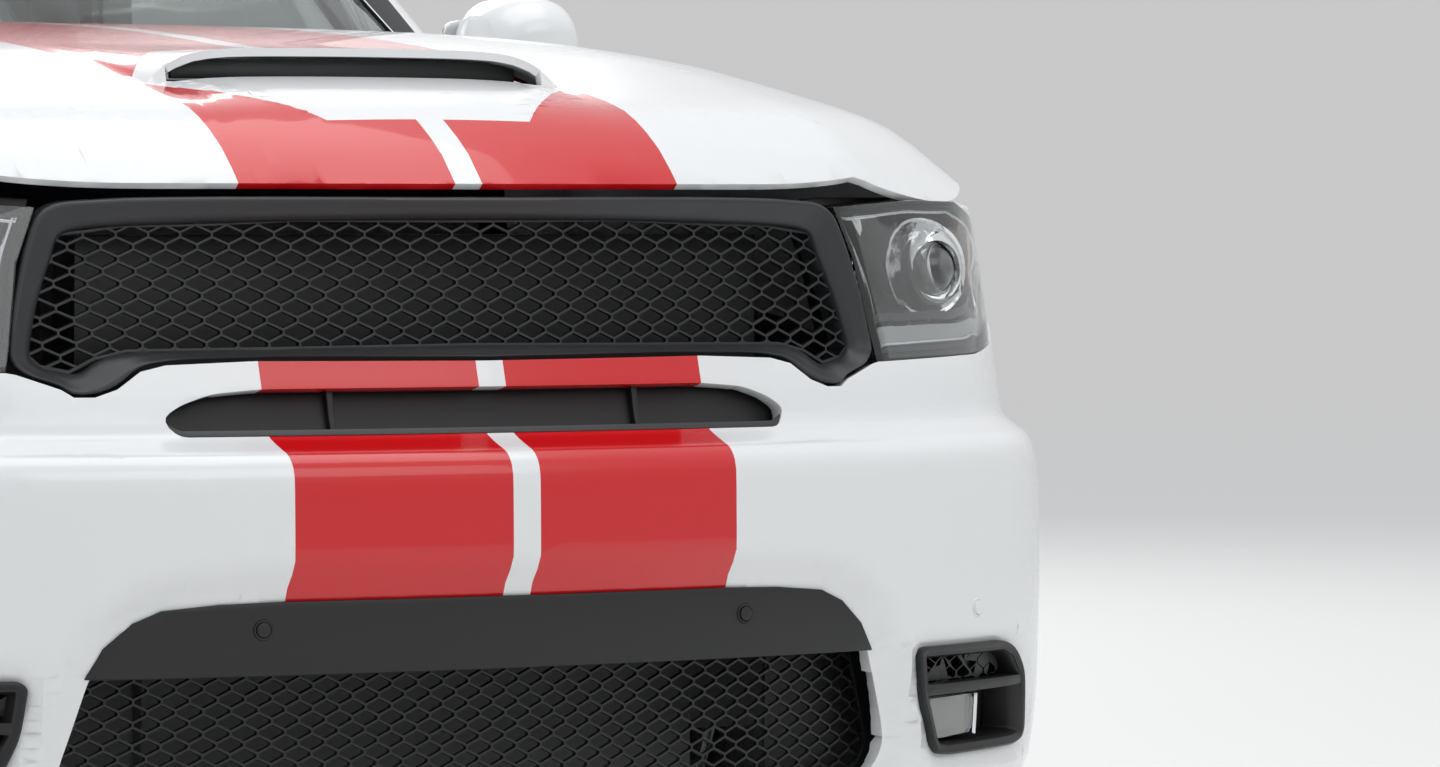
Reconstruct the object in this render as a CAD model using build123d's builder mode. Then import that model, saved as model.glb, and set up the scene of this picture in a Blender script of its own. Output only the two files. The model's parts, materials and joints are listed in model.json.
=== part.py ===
# Full-size five-door, three-row sport utility vehicle: painted body, unibody floor, alloy wheels.
# Frame: +X forward, +Y to the vehicle's left, +Z up, origin on the ground below the middle of its length.
# Sizes are in millimetres. Pieces of the left side are made first and mirrored for the right side.

import os
from math import asin, cos, degrees, hypot, radians, sin, sqrt

from build123d import *

# Overall sizes
LENGTH = 5110.0
WHEELBASE = 3042.0
FRONT_OVERHANG = 930.0
TRACK = 1623.0
NOSE = LENGTH / 2
TAIL = -LENGTH / 2
FRONT_AXLE = NOSE - FRONT_OVERHANG
REAR_AXLE = FRONT_AXLE - WHEELBASE

# Wheels
TYRE_RADIUS = 386.0
TYRE_WIDTH = 265.0
RIM_RADIUS = 256.0
RIM_WIDTH = 228.0
RIM_WALL = 9.0
HUB_RADIUS = 82.0
SPINDLE_RADIUS = 30.0
DISC_RADIUS = 172.0
DISC_WALL = 30.0
SPOKE_PAIRS = 5
WHEEL_Y = TRACK / 2
AXLE_HEIGHT = TYRE_RADIUS
ARCH_RADIUS = 432.0
LINER_RADIUS = 446.0
LINER_WALL = 6.0
LINER_INNER_Y = 455.0
LINER_OUTER_Y = 900.0
REAR_LINER_INNER_Y = 640.0
KINGPIN_INSET = 60.0

# Walls and gaps
SKIN = 25.0
DOOR_WALL = 120.0
FRAME_WALL = 60.0
PANEL_GAP = 6.0
TRIM_GAP = 4.0
FIT = 0.3
DOOR_RETURN = 22.0
CORE_GAP = 12.0
GLASS_INSET = 8.0
GLASS_WALL = 5.0
PIN_RADIUS = 6.0

# Plan forms of an end: bow radius, bow half width, corner radius, turn where the corner starts
BODY_FRONT = (2800.0, 430.0, 302.0, 27.0)
BODY_REAR = (3500.0, None, 220.0, None)
CABIN_FRONT = (1700.0, None, 110.0, None)
CABIN_REAR = (3500.0, None, 220.0, None)

# Body levels from the sills to the belt line: height, nose setback, tail setback, half width
BODY_LEVELS = [
    (240, 70, 90, 902),
    (330, 60, 50, 940),
    (450, 60, 30, 944),
    (600, 60, 30, 946),
    (715, 66, 50, 946),
    (803, 88, 70, 945),
    (900, 108, 85, 942),
    (1006, 130, 105, 932),
    (1130, 175, 150, 902),
]
# Bumper levels, up to the shelf and the fascia above it: height, nose setback, tail setback, half width
BUMPER_LEVELS = [
    (250, 40, 70, 930),
    (297, 14, 35, 955),
    (398, 4, 12, 962),
    (523, 0, 0, 962),
    (640, 1, 0, 958),
    (685, 5, 2, 950),
    (700, 16, 14, 948),
    (715, 62, 50, 946),
    (803, 88, 70, 945),
    (900, 108, 85, 942),
]
# Cabin levels above the belt line: height, windscreen x, rear glass x, half width
CABIN_LEVELS = [
    (1130, 1225, -2405, 902),
    (1410, 868, -2265, 815),
    (1640, 560, -2120, 690),
    (1700, 470, -2075, 640),
]
BELT = BODY_LEVELS[-1][0]
ROOF_EDGE, ROOF_FRONT, ROOF_REAR, ROOF_HALF = CABIN_LEVELS[-1]
ROOF_WALL = 24.0
ROOF_ROLL = 22.0
ROOF_CROWN = 26.0

# Side view lines
SILL_TOP = 339.0
DOOR_BOTTOM = 345.0
FENDER_REAR = 1080.0
PILLAR_X = 40.0
SIDE_FRONT = 1165.0
SIDE_REAR = -1110.0
HINGE_BACK = 60.0
HINGE_Y = 929.0
FRONT_HINGE_X = 1086.0 - HINGE_BACK
REAR_HINGE_X = PILLAR_X - 3 - HINGE_BACK

# Floor
FLOOR_TOP = 400.0
FLOOR_WALL = 70.0
STEP_X = -560.0
REAR_FLOOR_TOP = 590.0
CARGO_X = -1330.0
CARGO_FLOOR_TOP = 700.0
CARGO_END = -2380.0
FIREWALL_X = 1125.0
FIREWALL_WALL = 38.0
FLOOR_HALF = 806.0

# Front mesh: start, width and plan of its plates, wall, wire, rim, and how high a cell's tip is in rows
MESH_START = 2000.0
MESH_WIDTH = 585.0
MESH_PLAN = 942.0
MESH_WALL = 8.0
MESH_RIM = 4.0
WIRE = 2.8
CELL_APEX = 0.78

# Hood: front edge, rear edge, rise behind the front edge, and scoop
HOOD_WALL = 26.0
HOOD_EDGE = 1006.0
HOOD_SETBACK = 130.0
HOOD_REAR = 1205.0
HOOD_REAR_BOW = 3400.0
HOOD_SHUT_FRONT = 985.0
HOOD_SHUT_SLOPE = 0.12
HOOD_SIDE = 921.0
HOOD_LIP = 8.0
HOOD_AXIS = (1085.0, 1146.0)
HOOD_RISE = [
    (-120, -95), (0, 0), (103, 84), (131, 96), (261, 124), (530, 168), (900, 198), (1200, 208), (1420, 210),
]
SCOOP_START = 268.0
SCOOP_LENGTH = 330.0
SCOOP_HALF = 268.0
SCOOP_HEIGHT = 40.0


def rim(tip, half, cut, form, way):
    """Left half of one end's plan outline, moved inwards by cut. Gives its first and last points."""
    bow, bow_half, corner, corner_turn = form
    start = (tip - way * cut, 0)
    if bow_half:
        sine = sin(radians(corner_turn))
        bow_turn = degrees(asin(bow_half / bow))
        blend = (half - corner * (1 - sine) - bow_half) / (sine - bow_half / bow)
        middle = JernArc(start, (0, 1), bow - cut, way * bow_turn)
        last = JernArc(middle @ 1, middle % 1, blend - cut, way * (corner_turn - bow_turn))
        turn = corner_turn
    else:
        turn = degrees(asin((half - corner) / (bow - corner)))
        last = JernArc(start, (0, 1), bow - cut, way * turn)
    corner_arc = JernArc(last @ 1, last % 1, corner - cut, way * (90 - turn))
    return start, corner_arc @ 1


def end_band(levels, end_x, inset, depth, form, way):
    """Wall round one end, left half, between two insets. Levels are rows of height, tip x, half width."""
    with BuildPart() as shell:
        for height, tip, half in levels:
            with BuildSketch(Plane.XY.offset(height)):
                with BuildLine():
                    outer_start, outer_end = rim(tip, half, inset, form, way)
                    inner_start, inner_end = rim(tip, half, inset + depth, form, way)
                    Line(outer_start, inner_start)
                    side = half - inset
                    Polyline(outer_end, (end_x, side), (end_x, side - depth), inner_end)
                make_face()
        loft(ruled=True)
    return shell.part


def front_levels(levels):
    return [(height, NOSE - nose, half) for height, nose, tail, half in levels]


def rear_levels(levels):
    return [(height, TAIL + tail, half) for height, nose, tail, half in levels]


CABIN_FRONT_LEVELS = [(height, front, half) for height, front, rear, half in CABIN_LEVELS]
CABIN_REAR_LEVELS = [(height, rear, half) for height, front, rear, half in CABIN_LEVELS]
SIDE_LEVELS = [(height, half) for height, nose, tail, half in BODY_LEVELS]
SIDE_LEVELS += [(height, half) for height, front, rear, half in CABIN_LEVELS[1:]]


def side_band(inset, low_depth, high_depth, start, end):
    """Wall of the left side, which is straight along X, with one depth below the belt and one above it."""
    outer = [(half - inset, height) for height, half in SIDE_LEVELS]
    inner = [
        (half - inset - (high_depth if height >= BELT else low_depth), height) for height, half in SIDE_LEVELS
    ]
    return front_prism(outer + inner[::-1], start, end)


def side_prism(outline, inner=300.0, outer=1300.0, radius=0.0, grow=0.0):
    """Prism over an outline in the side view, points (x, z), between two distances from the middle."""
    with BuildPart() as prism:
        with BuildSketch(Plane.XZ.offset(-inner)) as shape:
            with BuildLine():
                Polyline(*outline, close=True)
            make_face()
            if grow:
                offset(amount=grow, kind=Kind.INTERSECTION)
            if radius:
                fillet(shape.vertices(), radius)
        extrude(amount=inner - outer)
    return prism.part


def front_prism(outline, start, end, radius=0.0, grow=0.0):
    """Prism over an outline in the front view, points (y, z), between two x stations."""
    with BuildPart() as prism:
        with BuildSketch(Plane.YZ.offset(start)) as shape:
            with BuildLine():
                Polyline(*outline, close=True)
            make_face()
            if grow:
                offset(amount=grow, kind=Kind.INTERSECTION)
            if radius:
                fillet(shape.vertices(), radius)
        extrude(amount=end - start)
    return prism.part


def bow_depth(y, half):
    """How far the front's plan outline has fallen back at a distance y from the middle."""
    bow, bow_half, corner, corner_turn = BODY_FRONT
    if y <= bow_half:
        return bow - sqrt(bow**2 - y**2)
    sine = sin(radians(corner_turn))
    blend = (half - corner * (1 - sine) - bow_half) / (sine - bow_half / bow)
    start = sqrt(1 - (bow_half / bow) ** 2)
    turn = sqrt(1 - (bow_half / bow + (y - bow_half) / blend) ** 2)
    return bow * (1 - start) + blend * (start - turn)


def lattice(outline, low, high, pitch, row):
    """Left half of a mesh of flattened hexagons that fills an outline. Low and high are rows of z and x."""
    columns = int(MESH_WIDTH / pitch) + 1
    stations = [pitch * i for i in range(columns + 1)]
    front_line = [(low[1] - bow_depth(y, MESH_PLAN), y) for y in stations]
    back_line = [(x - MESH_WALL, y) for x, y in front_line]
    half, apex, shoulder = (pitch - WIRE) / 2, row * CELL_APEX - WIRE / 2, row * (1 - CELL_APEX) - WIRE / 2
    cell = [(-half, -shoulder), (0, -apex), (half, -shoulder), (half, shoulder), (0, apex), (-half, shoulder)]
    with BuildSketch(Plane.YZ.offset(MESH_START)) as openings:
        for line in range(int((high[0] - low[0]) / row) + 1):
            shift = pitch / 2 if line % 2 else 0.0
            with Locations(*[(y + shift, low[0] + line * row) for y in stations]):
                Polygon(*cell, align=None)
        with BuildSketch(mode=Mode.INTERSECT):
            with BuildLine():
                Polyline(*[(y if y else -2 * MESH_RIM, z) for y, z in outline], close=True)
            make_face()
            offset(amount=-MESH_RIM, kind=Kind.INTERSECTION)
    with BuildPart() as mesh:
        with BuildSketch(Plane.XY.offset(low[0])):
            with BuildLine():
                Polyline(*front_line, *back_line[::-1], close=True)
            make_face()
        extrude(amount=hypot(high[1] - low[1], high[0] - low[0]), dir=(high[1] - low[1], 0, high[0] - low[0]))
        with BuildSketch(Plane.YZ.offset(MESH_START)):
            with BuildLine():
                Polyline(*outline, close=True)
            make_face()
        extrude(amount=NOSE - MESH_START, mode=Mode.INTERSECT)
        extrude(openings.sketch, amount=NOSE - MESH_START, mode=Mode.SUBTRACT)
    return mesh.part


def box(x, y, z):
    """Box between pairs of limits."""
    with BuildPart() as block:
        with Locations(((x[0] + x[1]) / 2, (y[0] + y[1]) / 2, (z[0] + z[1]) / 2)):
            Box(abs(x[1] - x[0]), abs(y[1] - y[0]), abs(z[1] - z[0]))
    return block.part


def rod(start, end, radius):
    """Round bar between two points."""
    start, end = Vector(*start), Vector(*end)
    with BuildPart() as bar:
        with BuildSketch(Plane(origin=start, z_dir=end - start)):
            Circle(radius)
        extrude(amount=(end - start).length)
    return bar.part


def common(*parts):
    """What all the solids share."""
    with BuildPart() as result:
        add(parts[0])
        for other in parts[1:]:
            add(other, mode=Mode.INTERSECT)
    return result.part


def joined(*parts):
    with BuildPart() as result:
        for other in parts:
            add(other)
    return result.part


def without(part, *cutters):
    with BuildPart() as result:
        add(part)
        for cutter in cutters:
            add(cutter, mode=Mode.SUBTRACT)
    return result.part


def mirrored(part):
    with BuildPart() as other:
        add(mirror(part, about=Plane.XZ))
    return other.part


def whole(part):
    """A left half and its mirror image."""
    return joined(part, mirrored(part))


def save(name, part):
    part.label = name
    export_step(part, f"parts/{name}.step")


def save_sides(name, part):
    save(name + "_left", part)
    save(name + "_right", mirrored(part))


def arch_cut(axle, radius, inner_y=500.0, outer_y=1300.0):
    """Wheel opening through the left side."""
    return rod((axle, inner_y, AXLE_HEIGHT), (axle, outer_y, AXLE_HEIGHT), radius)


def between(value, rows):
    """Straight interpolation in rows of (place, value)."""
    for (low, first), (high, second) in zip(rows, rows[1:]):
        if value <= high:
            return first + (second - first) * (value - low) / (high - low)
    return rows[-1][1]


def shut_height(x):
    """Height of the shut line between hood and fender."""
    return HOOD_SHUT_FRONT + HOOD_SHUT_SLOPE * (NOSE - 400 - x)


def hood_height(x, y):
    """Top of the hood: rises behind its front edge, rolls down to the fenders."""
    share = min(abs(y) / HOOD_SIDE, 1.0)
    setback = HOOD_SETBACK + BODY_FRONT[0] - sqrt(BODY_FRONT[0] ** 2 - min(abs(y), 600) ** 2)
    setback += max(abs(y) - 600, 0) * 0.62
    behind = NOSE - setback - x
    crown = HOOD_EDGE + between(behind, HOOD_RISE) - 10 * share**2 * min(max(behind, 0) / 400, 1)
    roll = share**14
    return crown * (1 - roll) + (shut_height(x) + HOOD_LIP) * roll


def scoop_rise(x, y):
    """How far the scoop's lid stands over the hood."""
    behind = (NOSE - HOOD_SETBACK - SCOOP_START - x) / SCOOP_LENGTH
    along = max(0.0, 1 - max(behind, 0.0)) ** 2
    across = max(0.0, 1 - (abs(y) / (SCOOP_HALF + 18)) ** 8)
    return SCOOP_HEIGHT * along * across


def sheet(height, x_range, y_range, steps, wall):
    """Curved sheet under a height formula, over a rectangle of the plan, wall thick along Z."""
    columns, rows = steps
    points = [
        [
            Vector(x, y, height(x, y))
            for y in (y_range[0] + (y_range[1] - y_range[0]) * j / rows for j in range(rows + 1))
        ]
        for x in (x_range[0] + (x_range[1] - x_range[0]) * i / columns for i in range(columns + 1))
    ]
    surface = Face.make_surface_from_array_of_points(points)
    with BuildPart() as slab:
        extrude(to_extrude=surface, amount=wall, dir=(0, 0, -1))
    return slab.part


os.makedirs("parts", exist_ok=True)

front_arch = arch_cut(FRONT_AXLE, ARCH_RADIUS)
rear_arch = arch_cut(REAR_AXLE, ARCH_RADIUS)

# Doors: outlines in the side view, points (x, z)
FRONT_DOOR = [
    (1075, DOOR_BOTTOM), (1086, 700), (1066, 1110), (872, 1132), (300, 1630), (262, 1648),
    (PILLAR_X + 15, 1652), (PILLAR_X + 3, BELT), (PILLAR_X + 3, DOOR_BOTTOM),
]
REAR_DOOR = [
    (PILLAR_X - 3, DOOR_BOTTOM), (PILLAR_X - 3, BELT), (PILLAR_X, 1652), (-858, 1640), (-936, 1590),
    (-979, 1130), (-972, 830), (-1068, 755), (-1000, 560), (-950, 450), (-900, DOOR_BOTTOM),
]
FRONT_WINDOW = [(800, 1168), (282, 1594), (106, 1606), (94, 1160)]
REAR_WINDOW = [(-10, 1160), (-4, 1606), (-836, 1596), (-890, 1560), (-922, 1165)]
QUARTER_WINDOW = [(-1015, 1172), (-990, 1590), (-1690, 1548), (-1900, 1190)]
WINDSCREEN = [(0, 1140), (800, 1140), (590, 1645), (560, 1668), (0, 1668)]

skin_band = side_band(0, SKIN, SKIN, SIDE_REAR, SIDE_FRONT)
core_band = side_band(0, DOOR_WALL, FRAME_WALL, SIDE_REAR, SIDE_FRONT)
glass_band = side_band(GLASS_INSET, GLASS_WALL, GLASS_WALL, SIDE_REAR, SIDE_FRONT)
recess_band = side_band(-5, SKIN + PANEL_GAP + 5, SKIN + PANEL_GAP + 5, SIDE_REAR, SIDE_FRONT)

# Rows: name, outline, window, hinge x
DOORS = [
    ("front_door", FRONT_DOOR, FRONT_WINDOW, FRONT_HINGE_X),
    ("rear_door", REAR_DOOR, REAR_WINDOW, REAR_HINGE_X),
]
side_cutters = []
hinge_pins = []
for name, outline, window, hinge_x in DOORS:
    skin = common(skin_band, side_prism(outline))
    core = common(core_band, side_prism(outline, grow=-DOOR_RETURN - CORE_GAP))
    pin_top = (hinge_x, HINGE_Y, DOOR_BOTTOM + 60)
    pin_bore = rod((hinge_x, HINGE_Y, DOOR_BOTTOM - 20), pin_top, PIN_RADIUS + FIT)
    door = without(joined(skin, core), side_prism(window, radius=16), rear_arch, pin_bore)
    pane = common(glass_band, side_prism(window, radius=16))
    save_sides(name, door)
    save_sides(name + "_glass", pane)
    side_cutters.append(common(recess_band, side_prism(outline, grow=PANEL_GAP)))
    side_cutters.append(side_prism(outline, grow=-DOOR_RETURN))
    side_cutters.append(rod((hinge_x, HINGE_Y, SILL_TOP), (hinge_x, HINGE_Y, BELT + 5), HINGE_BACK + 9))
    hinge_pins.append(rod((hinge_x, HINGE_Y, SILL_TOP - 30), pin_top, PIN_RADIUS))

# The front edge of the rear door swings inwards ahead of its hinge, so the pillar has a deeper seat there
SWING_DEPTH, SWING_LOW = 56.0, 985.0
swing_room = common(
    side_band(-5, SWING_DEPTH + 5, SWING_DEPTH + 5, SIDE_REAR, SIDE_FRONT),
    box((REAR_HINGE_X - 6, PILLAR_X + 3), (300, 1300), (SWING_LOW, 1658)),
)
side_cutters.append(swing_room)

# Body side: sill, pillars and roof rail, with the rear quarter and the pillars beside windscreen and tailgate
side_frame = side_band(0, DOOR_WALL, FRAME_WALL, SIDE_REAR, SIDE_FRONT)
FENDER_SEAT = [
    (FENDER_REAR, 200), (FENDER_REAR, 700), (FENDER_REAR - 10, 1090), (FENDER_REAR - 10, BELT + 4),
    (1300, BELT + 4), (1300, 200),
]
fender_seat = common(side_band(-5, SKIN + FIT + 5, SKIN + FIT + 5, SIDE_REAR, 1300), side_prism(FENDER_SEAT))
side_ring = without(side_frame, *side_cutters, fender_seat, front_arch, rear_arch)
AHEAD_OF_PILLAR = [
    (900, BELT), (262, 1692), (200, 1760), (1400, 1760), (1400, 1058), (FENDER_REAR, 1058),
    (FENDER_REAR, BELT),
]
side_ring = without(
    side_ring, side_prism(AHEAD_OF_PILLAR), side_prism(QUARTER_WINDOW, radius=16),
    arch_cut(REAR_AXLE, LINER_RADIUS + LINER_WALL + FIT, 300, LINER_OUTER_Y + FIT)
)
front_pillar = end_band(CABIN_FRONT_LEVELS, SIDE_FRONT - 960, 0, FRAME_WALL, CABIN_FRONT, 1)
WINDSCREEN_FRAME = [(0, 1000), (770, 1000), (770, 1140), (560, 1645), (560, 1750), (0, 1750)]
front_pillar = without(
    front_pillar,
    front_prism(WINDSCREEN_FRAME, 0, 1400),
    front_prism(WINDSCREEN, 0, 1400, grow=FIT),
    *side_cutters[:3],
)
quarter = end_band(rear_levels(BODY_LEVELS[4:]), SIDE_REAR, 0, SKIN, BODY_REAR, -1)
rear_pillar = end_band(CABIN_REAR_LEVELS, SIDE_REAR, 0, FRAME_WALL, CABIN_REAR, -1)
LIFTGATE = [(0, 722), (700, 722), (742, 900), (752, 1010), (738, 1130), (505, 1640), (505, 1800), (0, 1800)]
GATE_GAP, GATE_SKIN, GATE_EDGE = 8.0, 12.0, 30.0
GATE_CORE = [(max(y - GATE_EDGE, 0), z) for y, z in LIFTGATE]
GATE_FRONT = -2003.0
ROOF_CUT = -1994.0
gate_room = front_prism(LIFTGATE, -3000, ROOF_CUT, grow=GATE_GAP)
TAIL_LAMP = [(560, 935), (1000, 935), (1000, 1062), (560, 1062)]
rear_corner = without(
    joined(quarter, rear_pillar),
    gate_room,
    box((-3000, ROOF_CUT + 60), (-1, 513), (900, 1800)),
    front_prism(TAIL_LAMP, -3000, TAIL + 330, grow=FIT),
    side_prism(QUARTER_WINDOW, radius=16),
    rear_arch,
)
body_side = joined(side_ring, front_pillar, rear_corner, *hinge_pins)
save_sides("body_side", body_side)

# Fixed glass: windscreen and rear quarter windows
windscreen = common(
    end_band(CABIN_FRONT_LEVELS, 0, GLASS_INSET, GLASS_WALL, CABIN_FRONT, 1), front_prism(WINDSCREEN, 0, 1400)
)
quarter_pane = common(
    side_band(GLASS_INSET, GLASS_WALL, GLASS_WALL, -2100, SIDE_REAR + 200),
    side_prism(QUARTER_WINDOW, radius=16),
)
save("fixed_glass", whole(joined(windscreen, quarter_pane)))

# Roof: crowned panel on the rails, headers before and behind it, and two roof rails
GATE_X, GATE_Z = -1998.5, 1727.0
BARREL_RADIUS, BARREL_LENGTH, BARREL_Y = 3.5, 30.0, 330.0
ROOF_START = ROOF_FRONT - 2
ROOF_END = ROOF_REAR + 12


def roof_height(x, y):
    along = max(0.0, 1 - ((x - (ROOF_START + ROOF_END) / 2) / 1300) ** 6)
    across = max(0.0, 1 - (abs(y) / ROOF_HALF) ** 4)
    return ROOF_EDGE + (ROOF_ROLL + ROOF_CROWN) * across * (0.35 + 0.65 * along)


roof_slab = sheet(roof_height, (-2120, 520), (-ROOF_HALF, ROOF_HALF), (16, 12), ROOF_WALL + 40)
with BuildPart() as roof_outline:
    with BuildSketch(Plane.XY.offset(ROOF_EDGE)):
        with BuildLine():
            front_start, front_end = rim(ROOF_START, ROOF_HALF - 2, 0, CABIN_FRONT, 1)
            rear_start, rear_end = rim(ROOF_END, ROOF_HALF - 2, 0, CABIN_REAR, -1)
            Line(front_end, rear_end)
            mirror(about=Plane.XZ)
        make_face()
    extrude(amount=200)
roof_top = common(roof_slab, roof_outline.part)
header = common(
    end_band(CABIN_FRONT_LEVELS, 0, 0, FRAME_WALL, CABIN_FRONT, 1),
    box((0, 1000), (0, 560 - FIT), (1668 + FIT, ROOF_EDGE)),
)
REAR_BOW_WIDTH, REAR_BOW_DEPTH = 56.0, 26.0
header = joined(
    header,
    box((ROOF_CUT, ROOF_CUT + REAR_BOW_WIDTH), (0, 513), (ROOF_EDGE - REAR_BOW_DEPTH, ROOF_EDGE)),
    rod((GATE_X, BARREL_Y - BARREL_LENGTH, GATE_Z), (GATE_X, BARREL_Y, GATE_Z), BARREL_RADIUS),
    box((GATE_X, ROOF_CUT + 5), (BARREL_Y - BARREL_LENGTH, BARREL_Y), (GATE_Z - 10, GATE_Z - 1)),
)
RAIL_Y, RAIL_FRONT, RAIL_REAR, RAIL_WIDTH, RAIL_TOP = 560.0, 130.0, -1780.0, 34.0, 1801.0
RAIL_LINE = [
    (RAIL_FRONT, 1700), (RAIL_FRONT - 90, 1782), (RAIL_FRONT - 150, RAIL_TOP),
    (RAIL_REAR + 150, RAIL_TOP), (RAIL_REAR + 90, 1780), (RAIL_REAR, 1700),
]
RAIL_UNDER = [
    (RAIL_FRONT - 120, 1690), (RAIL_FRONT - 165, 1778), (RAIL_REAR + 165, 1776), (RAIL_REAR + 120, 1690),
]
rail = without(
    side_prism(RAIL_LINE, RAIL_Y, RAIL_Y + RAIL_WIDTH),
    side_prism(RAIL_UNDER, RAIL_Y - 5, RAIL_Y + RAIL_WIDTH + 5),
    side_prism([(500, 1500), (500, 1712), (-2200, 1712), (-2200, 1500)]),
)
save("roof_panel", joined(without(roof_top, gate_room, mirrored(gate_room)), whole(header), whole(rail)))

# Front fenders
FENDER = [
    (FENDER_REAR, SILL_TOP - 3), (FENDER_REAR + 13, 700), (1073, 1104), (1110, shut_height(1110) - TRIM_GAP),
    (2148, shut_height(2148) - TRIM_GAP), (2148, 806), (1921, 694), (1900, 500), (1300, 250),
    (FENDER_REAR, 250),
]
fender = without(
    common(end_band(front_levels(BODY_LEVELS), 1000, 0, SKIN, BODY_FRONT, 1), side_prism(FENDER)), front_arch
)
save_sides("fender", fender)

# Hood with its scoop
with BuildPart() as hood_outline:
    with BuildSketch(Plane.XY.offset(900)):
        with BuildLine():
            tip = NOSE - HOOD_SETBACK - PANEL_GAP
            start, end = rim(tip, HOOD_SIDE, 0, BODY_FRONT, 1)
            rear_x = HOOD_REAR - HOOD_REAR_BOW + sqrt(HOOD_REAR_BOW**2 - HOOD_SIDE**2)
            rear_middle = HOOD_REAR - HOOD_REAR_BOW + sqrt(HOOD_REAR_BOW**2 - (HOOD_SIDE / 2) ** 2)
            ThreePointArc((HOOD_REAR, 0), (rear_middle, HOOD_SIDE / 2), (rear_x, HOOD_SIDE))
            Line(end, (rear_x, HOOD_SIDE))
            mirror(about=Plane.XZ)
        make_face()
    extrude(amount=500)
hood_sheet = sheet(hood_height, (NOSE - 60, HOOD_REAR - 160), (-HOOD_SIDE, HOOD_SIDE), (22, 20), HOOD_WALL)
hood_panel = common(hood_sheet, hood_outline.part)
scoop_x = NOSE - HOOD_SETBACK - SCOOP_START
scoop_sheet = sheet(
    lambda x, y: hood_height(x, y) + scoop_rise(x, y),
    (scoop_x, scoop_x - SCOOP_LENGTH), (-SCOOP_HALF - 18, SCOOP_HALF + 18), (10, 20), 9,
)
front_relief = common(
    end_band(front_levels(BODY_LEVELS[6:]), 1900, -100, 230, BODY_FRONT, 1),
    box((1900, 2700), (-1, 900), (800, 1001)),
)
SHUT_ENDS = (HOOD_REAR - 200, NOSE)
below_shut = side_prism(
    [(SHUT_ENDS[0], 800), (SHUT_ENDS[1], 800)] + [(x, shut_height(x)) for x in SHUT_ENDS[::-1]], 840, 1300
)
HINGE_ARM_Y = (790.0, 798.0)
AXIS_X, AXIS_Z = HOOD_AXIS
HOOD_ARM = [(85, 40), (-20, 40), (-9, -10), (9, -10)]
hood_arm = without(
    side_prism([(AXIS_X + x, AXIS_Z + z) for x, z in HOOD_ARM], *HINGE_ARM_Y),
    rod((AXIS_X, 700, AXIS_Z), (AXIS_X, 900, AXIS_Z), PIN_RADIUS + FIT),
)
SCOOP_MESH_Y, SCOOP_MESH_BACK = 240.0, 30.0
scoop_mesh = sheet(
    lambda x, y: hood_height(x, y) + scoop_rise(x, y) - 9 - FIT,
    (scoop_x - SCOOP_MESH_BACK, scoop_x - SCOOP_MESH_BACK - 6), (-SCOOP_MESH_Y, SCOOP_MESH_Y), (4, 12), 50,
)
scoop_floor = sheet(
    lambda x, y: hood_height(x, y) + FIT,
    (scoop_x - SCOOP_MESH_BACK + 5, scoop_x - SCOOP_MESH_BACK - 11), (-SCOOP_MESH_Y - 5, SCOOP_MESH_Y + 5),
    (4, 12), 100,
)
save("scoop_mesh", without(scoop_mesh, scoop_floor))
hood_cutters = (front_relief, mirrored(front_relief), below_shut, mirrored(below_shut))
save("hood", joined(without(hood_panel, *hood_cutters), scoop_sheet, whole(hood_arm)))

# Cowl below the windscreen, with the hood's hinge brackets
COWL_TOP = BELT - FIT
COWL_LOW = COWL_TOP - 26
cowl_level = (HOOD_REAR + 95, 940)
cowl = common(
    end_band([(z, *cowl_level) for z in (COWL_LOW, COWL_TOP)], 800, 0, 90, CABIN_FRONT, 1),
    box((900, 1400), (-1, 835), (1000, 1200)),
)
bracket = joined(
    box((AXIS_X - 22, AXIS_X + 22), (804, 812), (COWL_LOW, AXIS_Z + 12)),
    rod((AXIS_X, 786, AXIS_Z), (AXIS_X, 812, AXIS_Z), PIN_RADIUS),
)
save("cowl", whole(joined(cowl, bracket)))

# Front bumper and fascia
GRILLE = [
    (0, 996), (353, 996), (474, 993), (543, 982), (563, 944), (581, 883), (592, 815), (587, 797), (541, 780),
    (527, 771), (503, 771), (476, 780), (446, 800), (415, 807), (306, 811), (0, 809),
]
GRILLE_OPENING = [
    (0, 970), (220, 971), (341, 966), (444, 964), (485, 958), (515, 955), (526, 944), (555, 870),
    (568, 815), (552, 800), (518, 793), (488, 808), (448, 817), (0, 821),
]
HEADLAMP = [
    (552, 982), (577, 921), (592, 836), (600, 797), (808, 802), (875, 815), (915, 850), (915, 930),
    (854, 970), (802, 988), (700, 990),
]
SLOT = [(0, 775), (300, 775), (365, 770), (404, 757), (427, 742), (412, 721), (0, 721)]
INTAKE = [
    (0, 533), (300, 533), (381, 531), (452, 525), (486, 511), (519, 483), (539, 450), (571, 351), (573, 330),
    (560, 306), (530, 292), (0, 290),
]
FOG = [
    (614, 440), (622, 446), (788, 446), (815, 435), (838, 408), (847, 334), (842, 324), (819, 319),
    (674, 316), (655, 319), (647, 328), (622, 385),
]
front_rows = front_levels(BUMPER_LEVELS)
BUMPER_SIDE = [(3000, 240), (3000, 803), (2148, 803), (1917, 690), (1880, 240)]
fascia = without(
    common(end_band(front_rows, 1800, 0, SKIN, BODY_FRONT, 1), side_prism(BUMPER_SIDE, -1, 1300)),
    front_arch,
    *[front_prism(shape, 1500, 2700, grow=TRIM_GAP / 2) for shape in (GRILLE, HEADLAMP)],
    *[front_prism(shape, 1500, 2700) for shape in (SLOT, INTAKE, FOG)],
)
save("front_bumper", whole(fascia))

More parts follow.
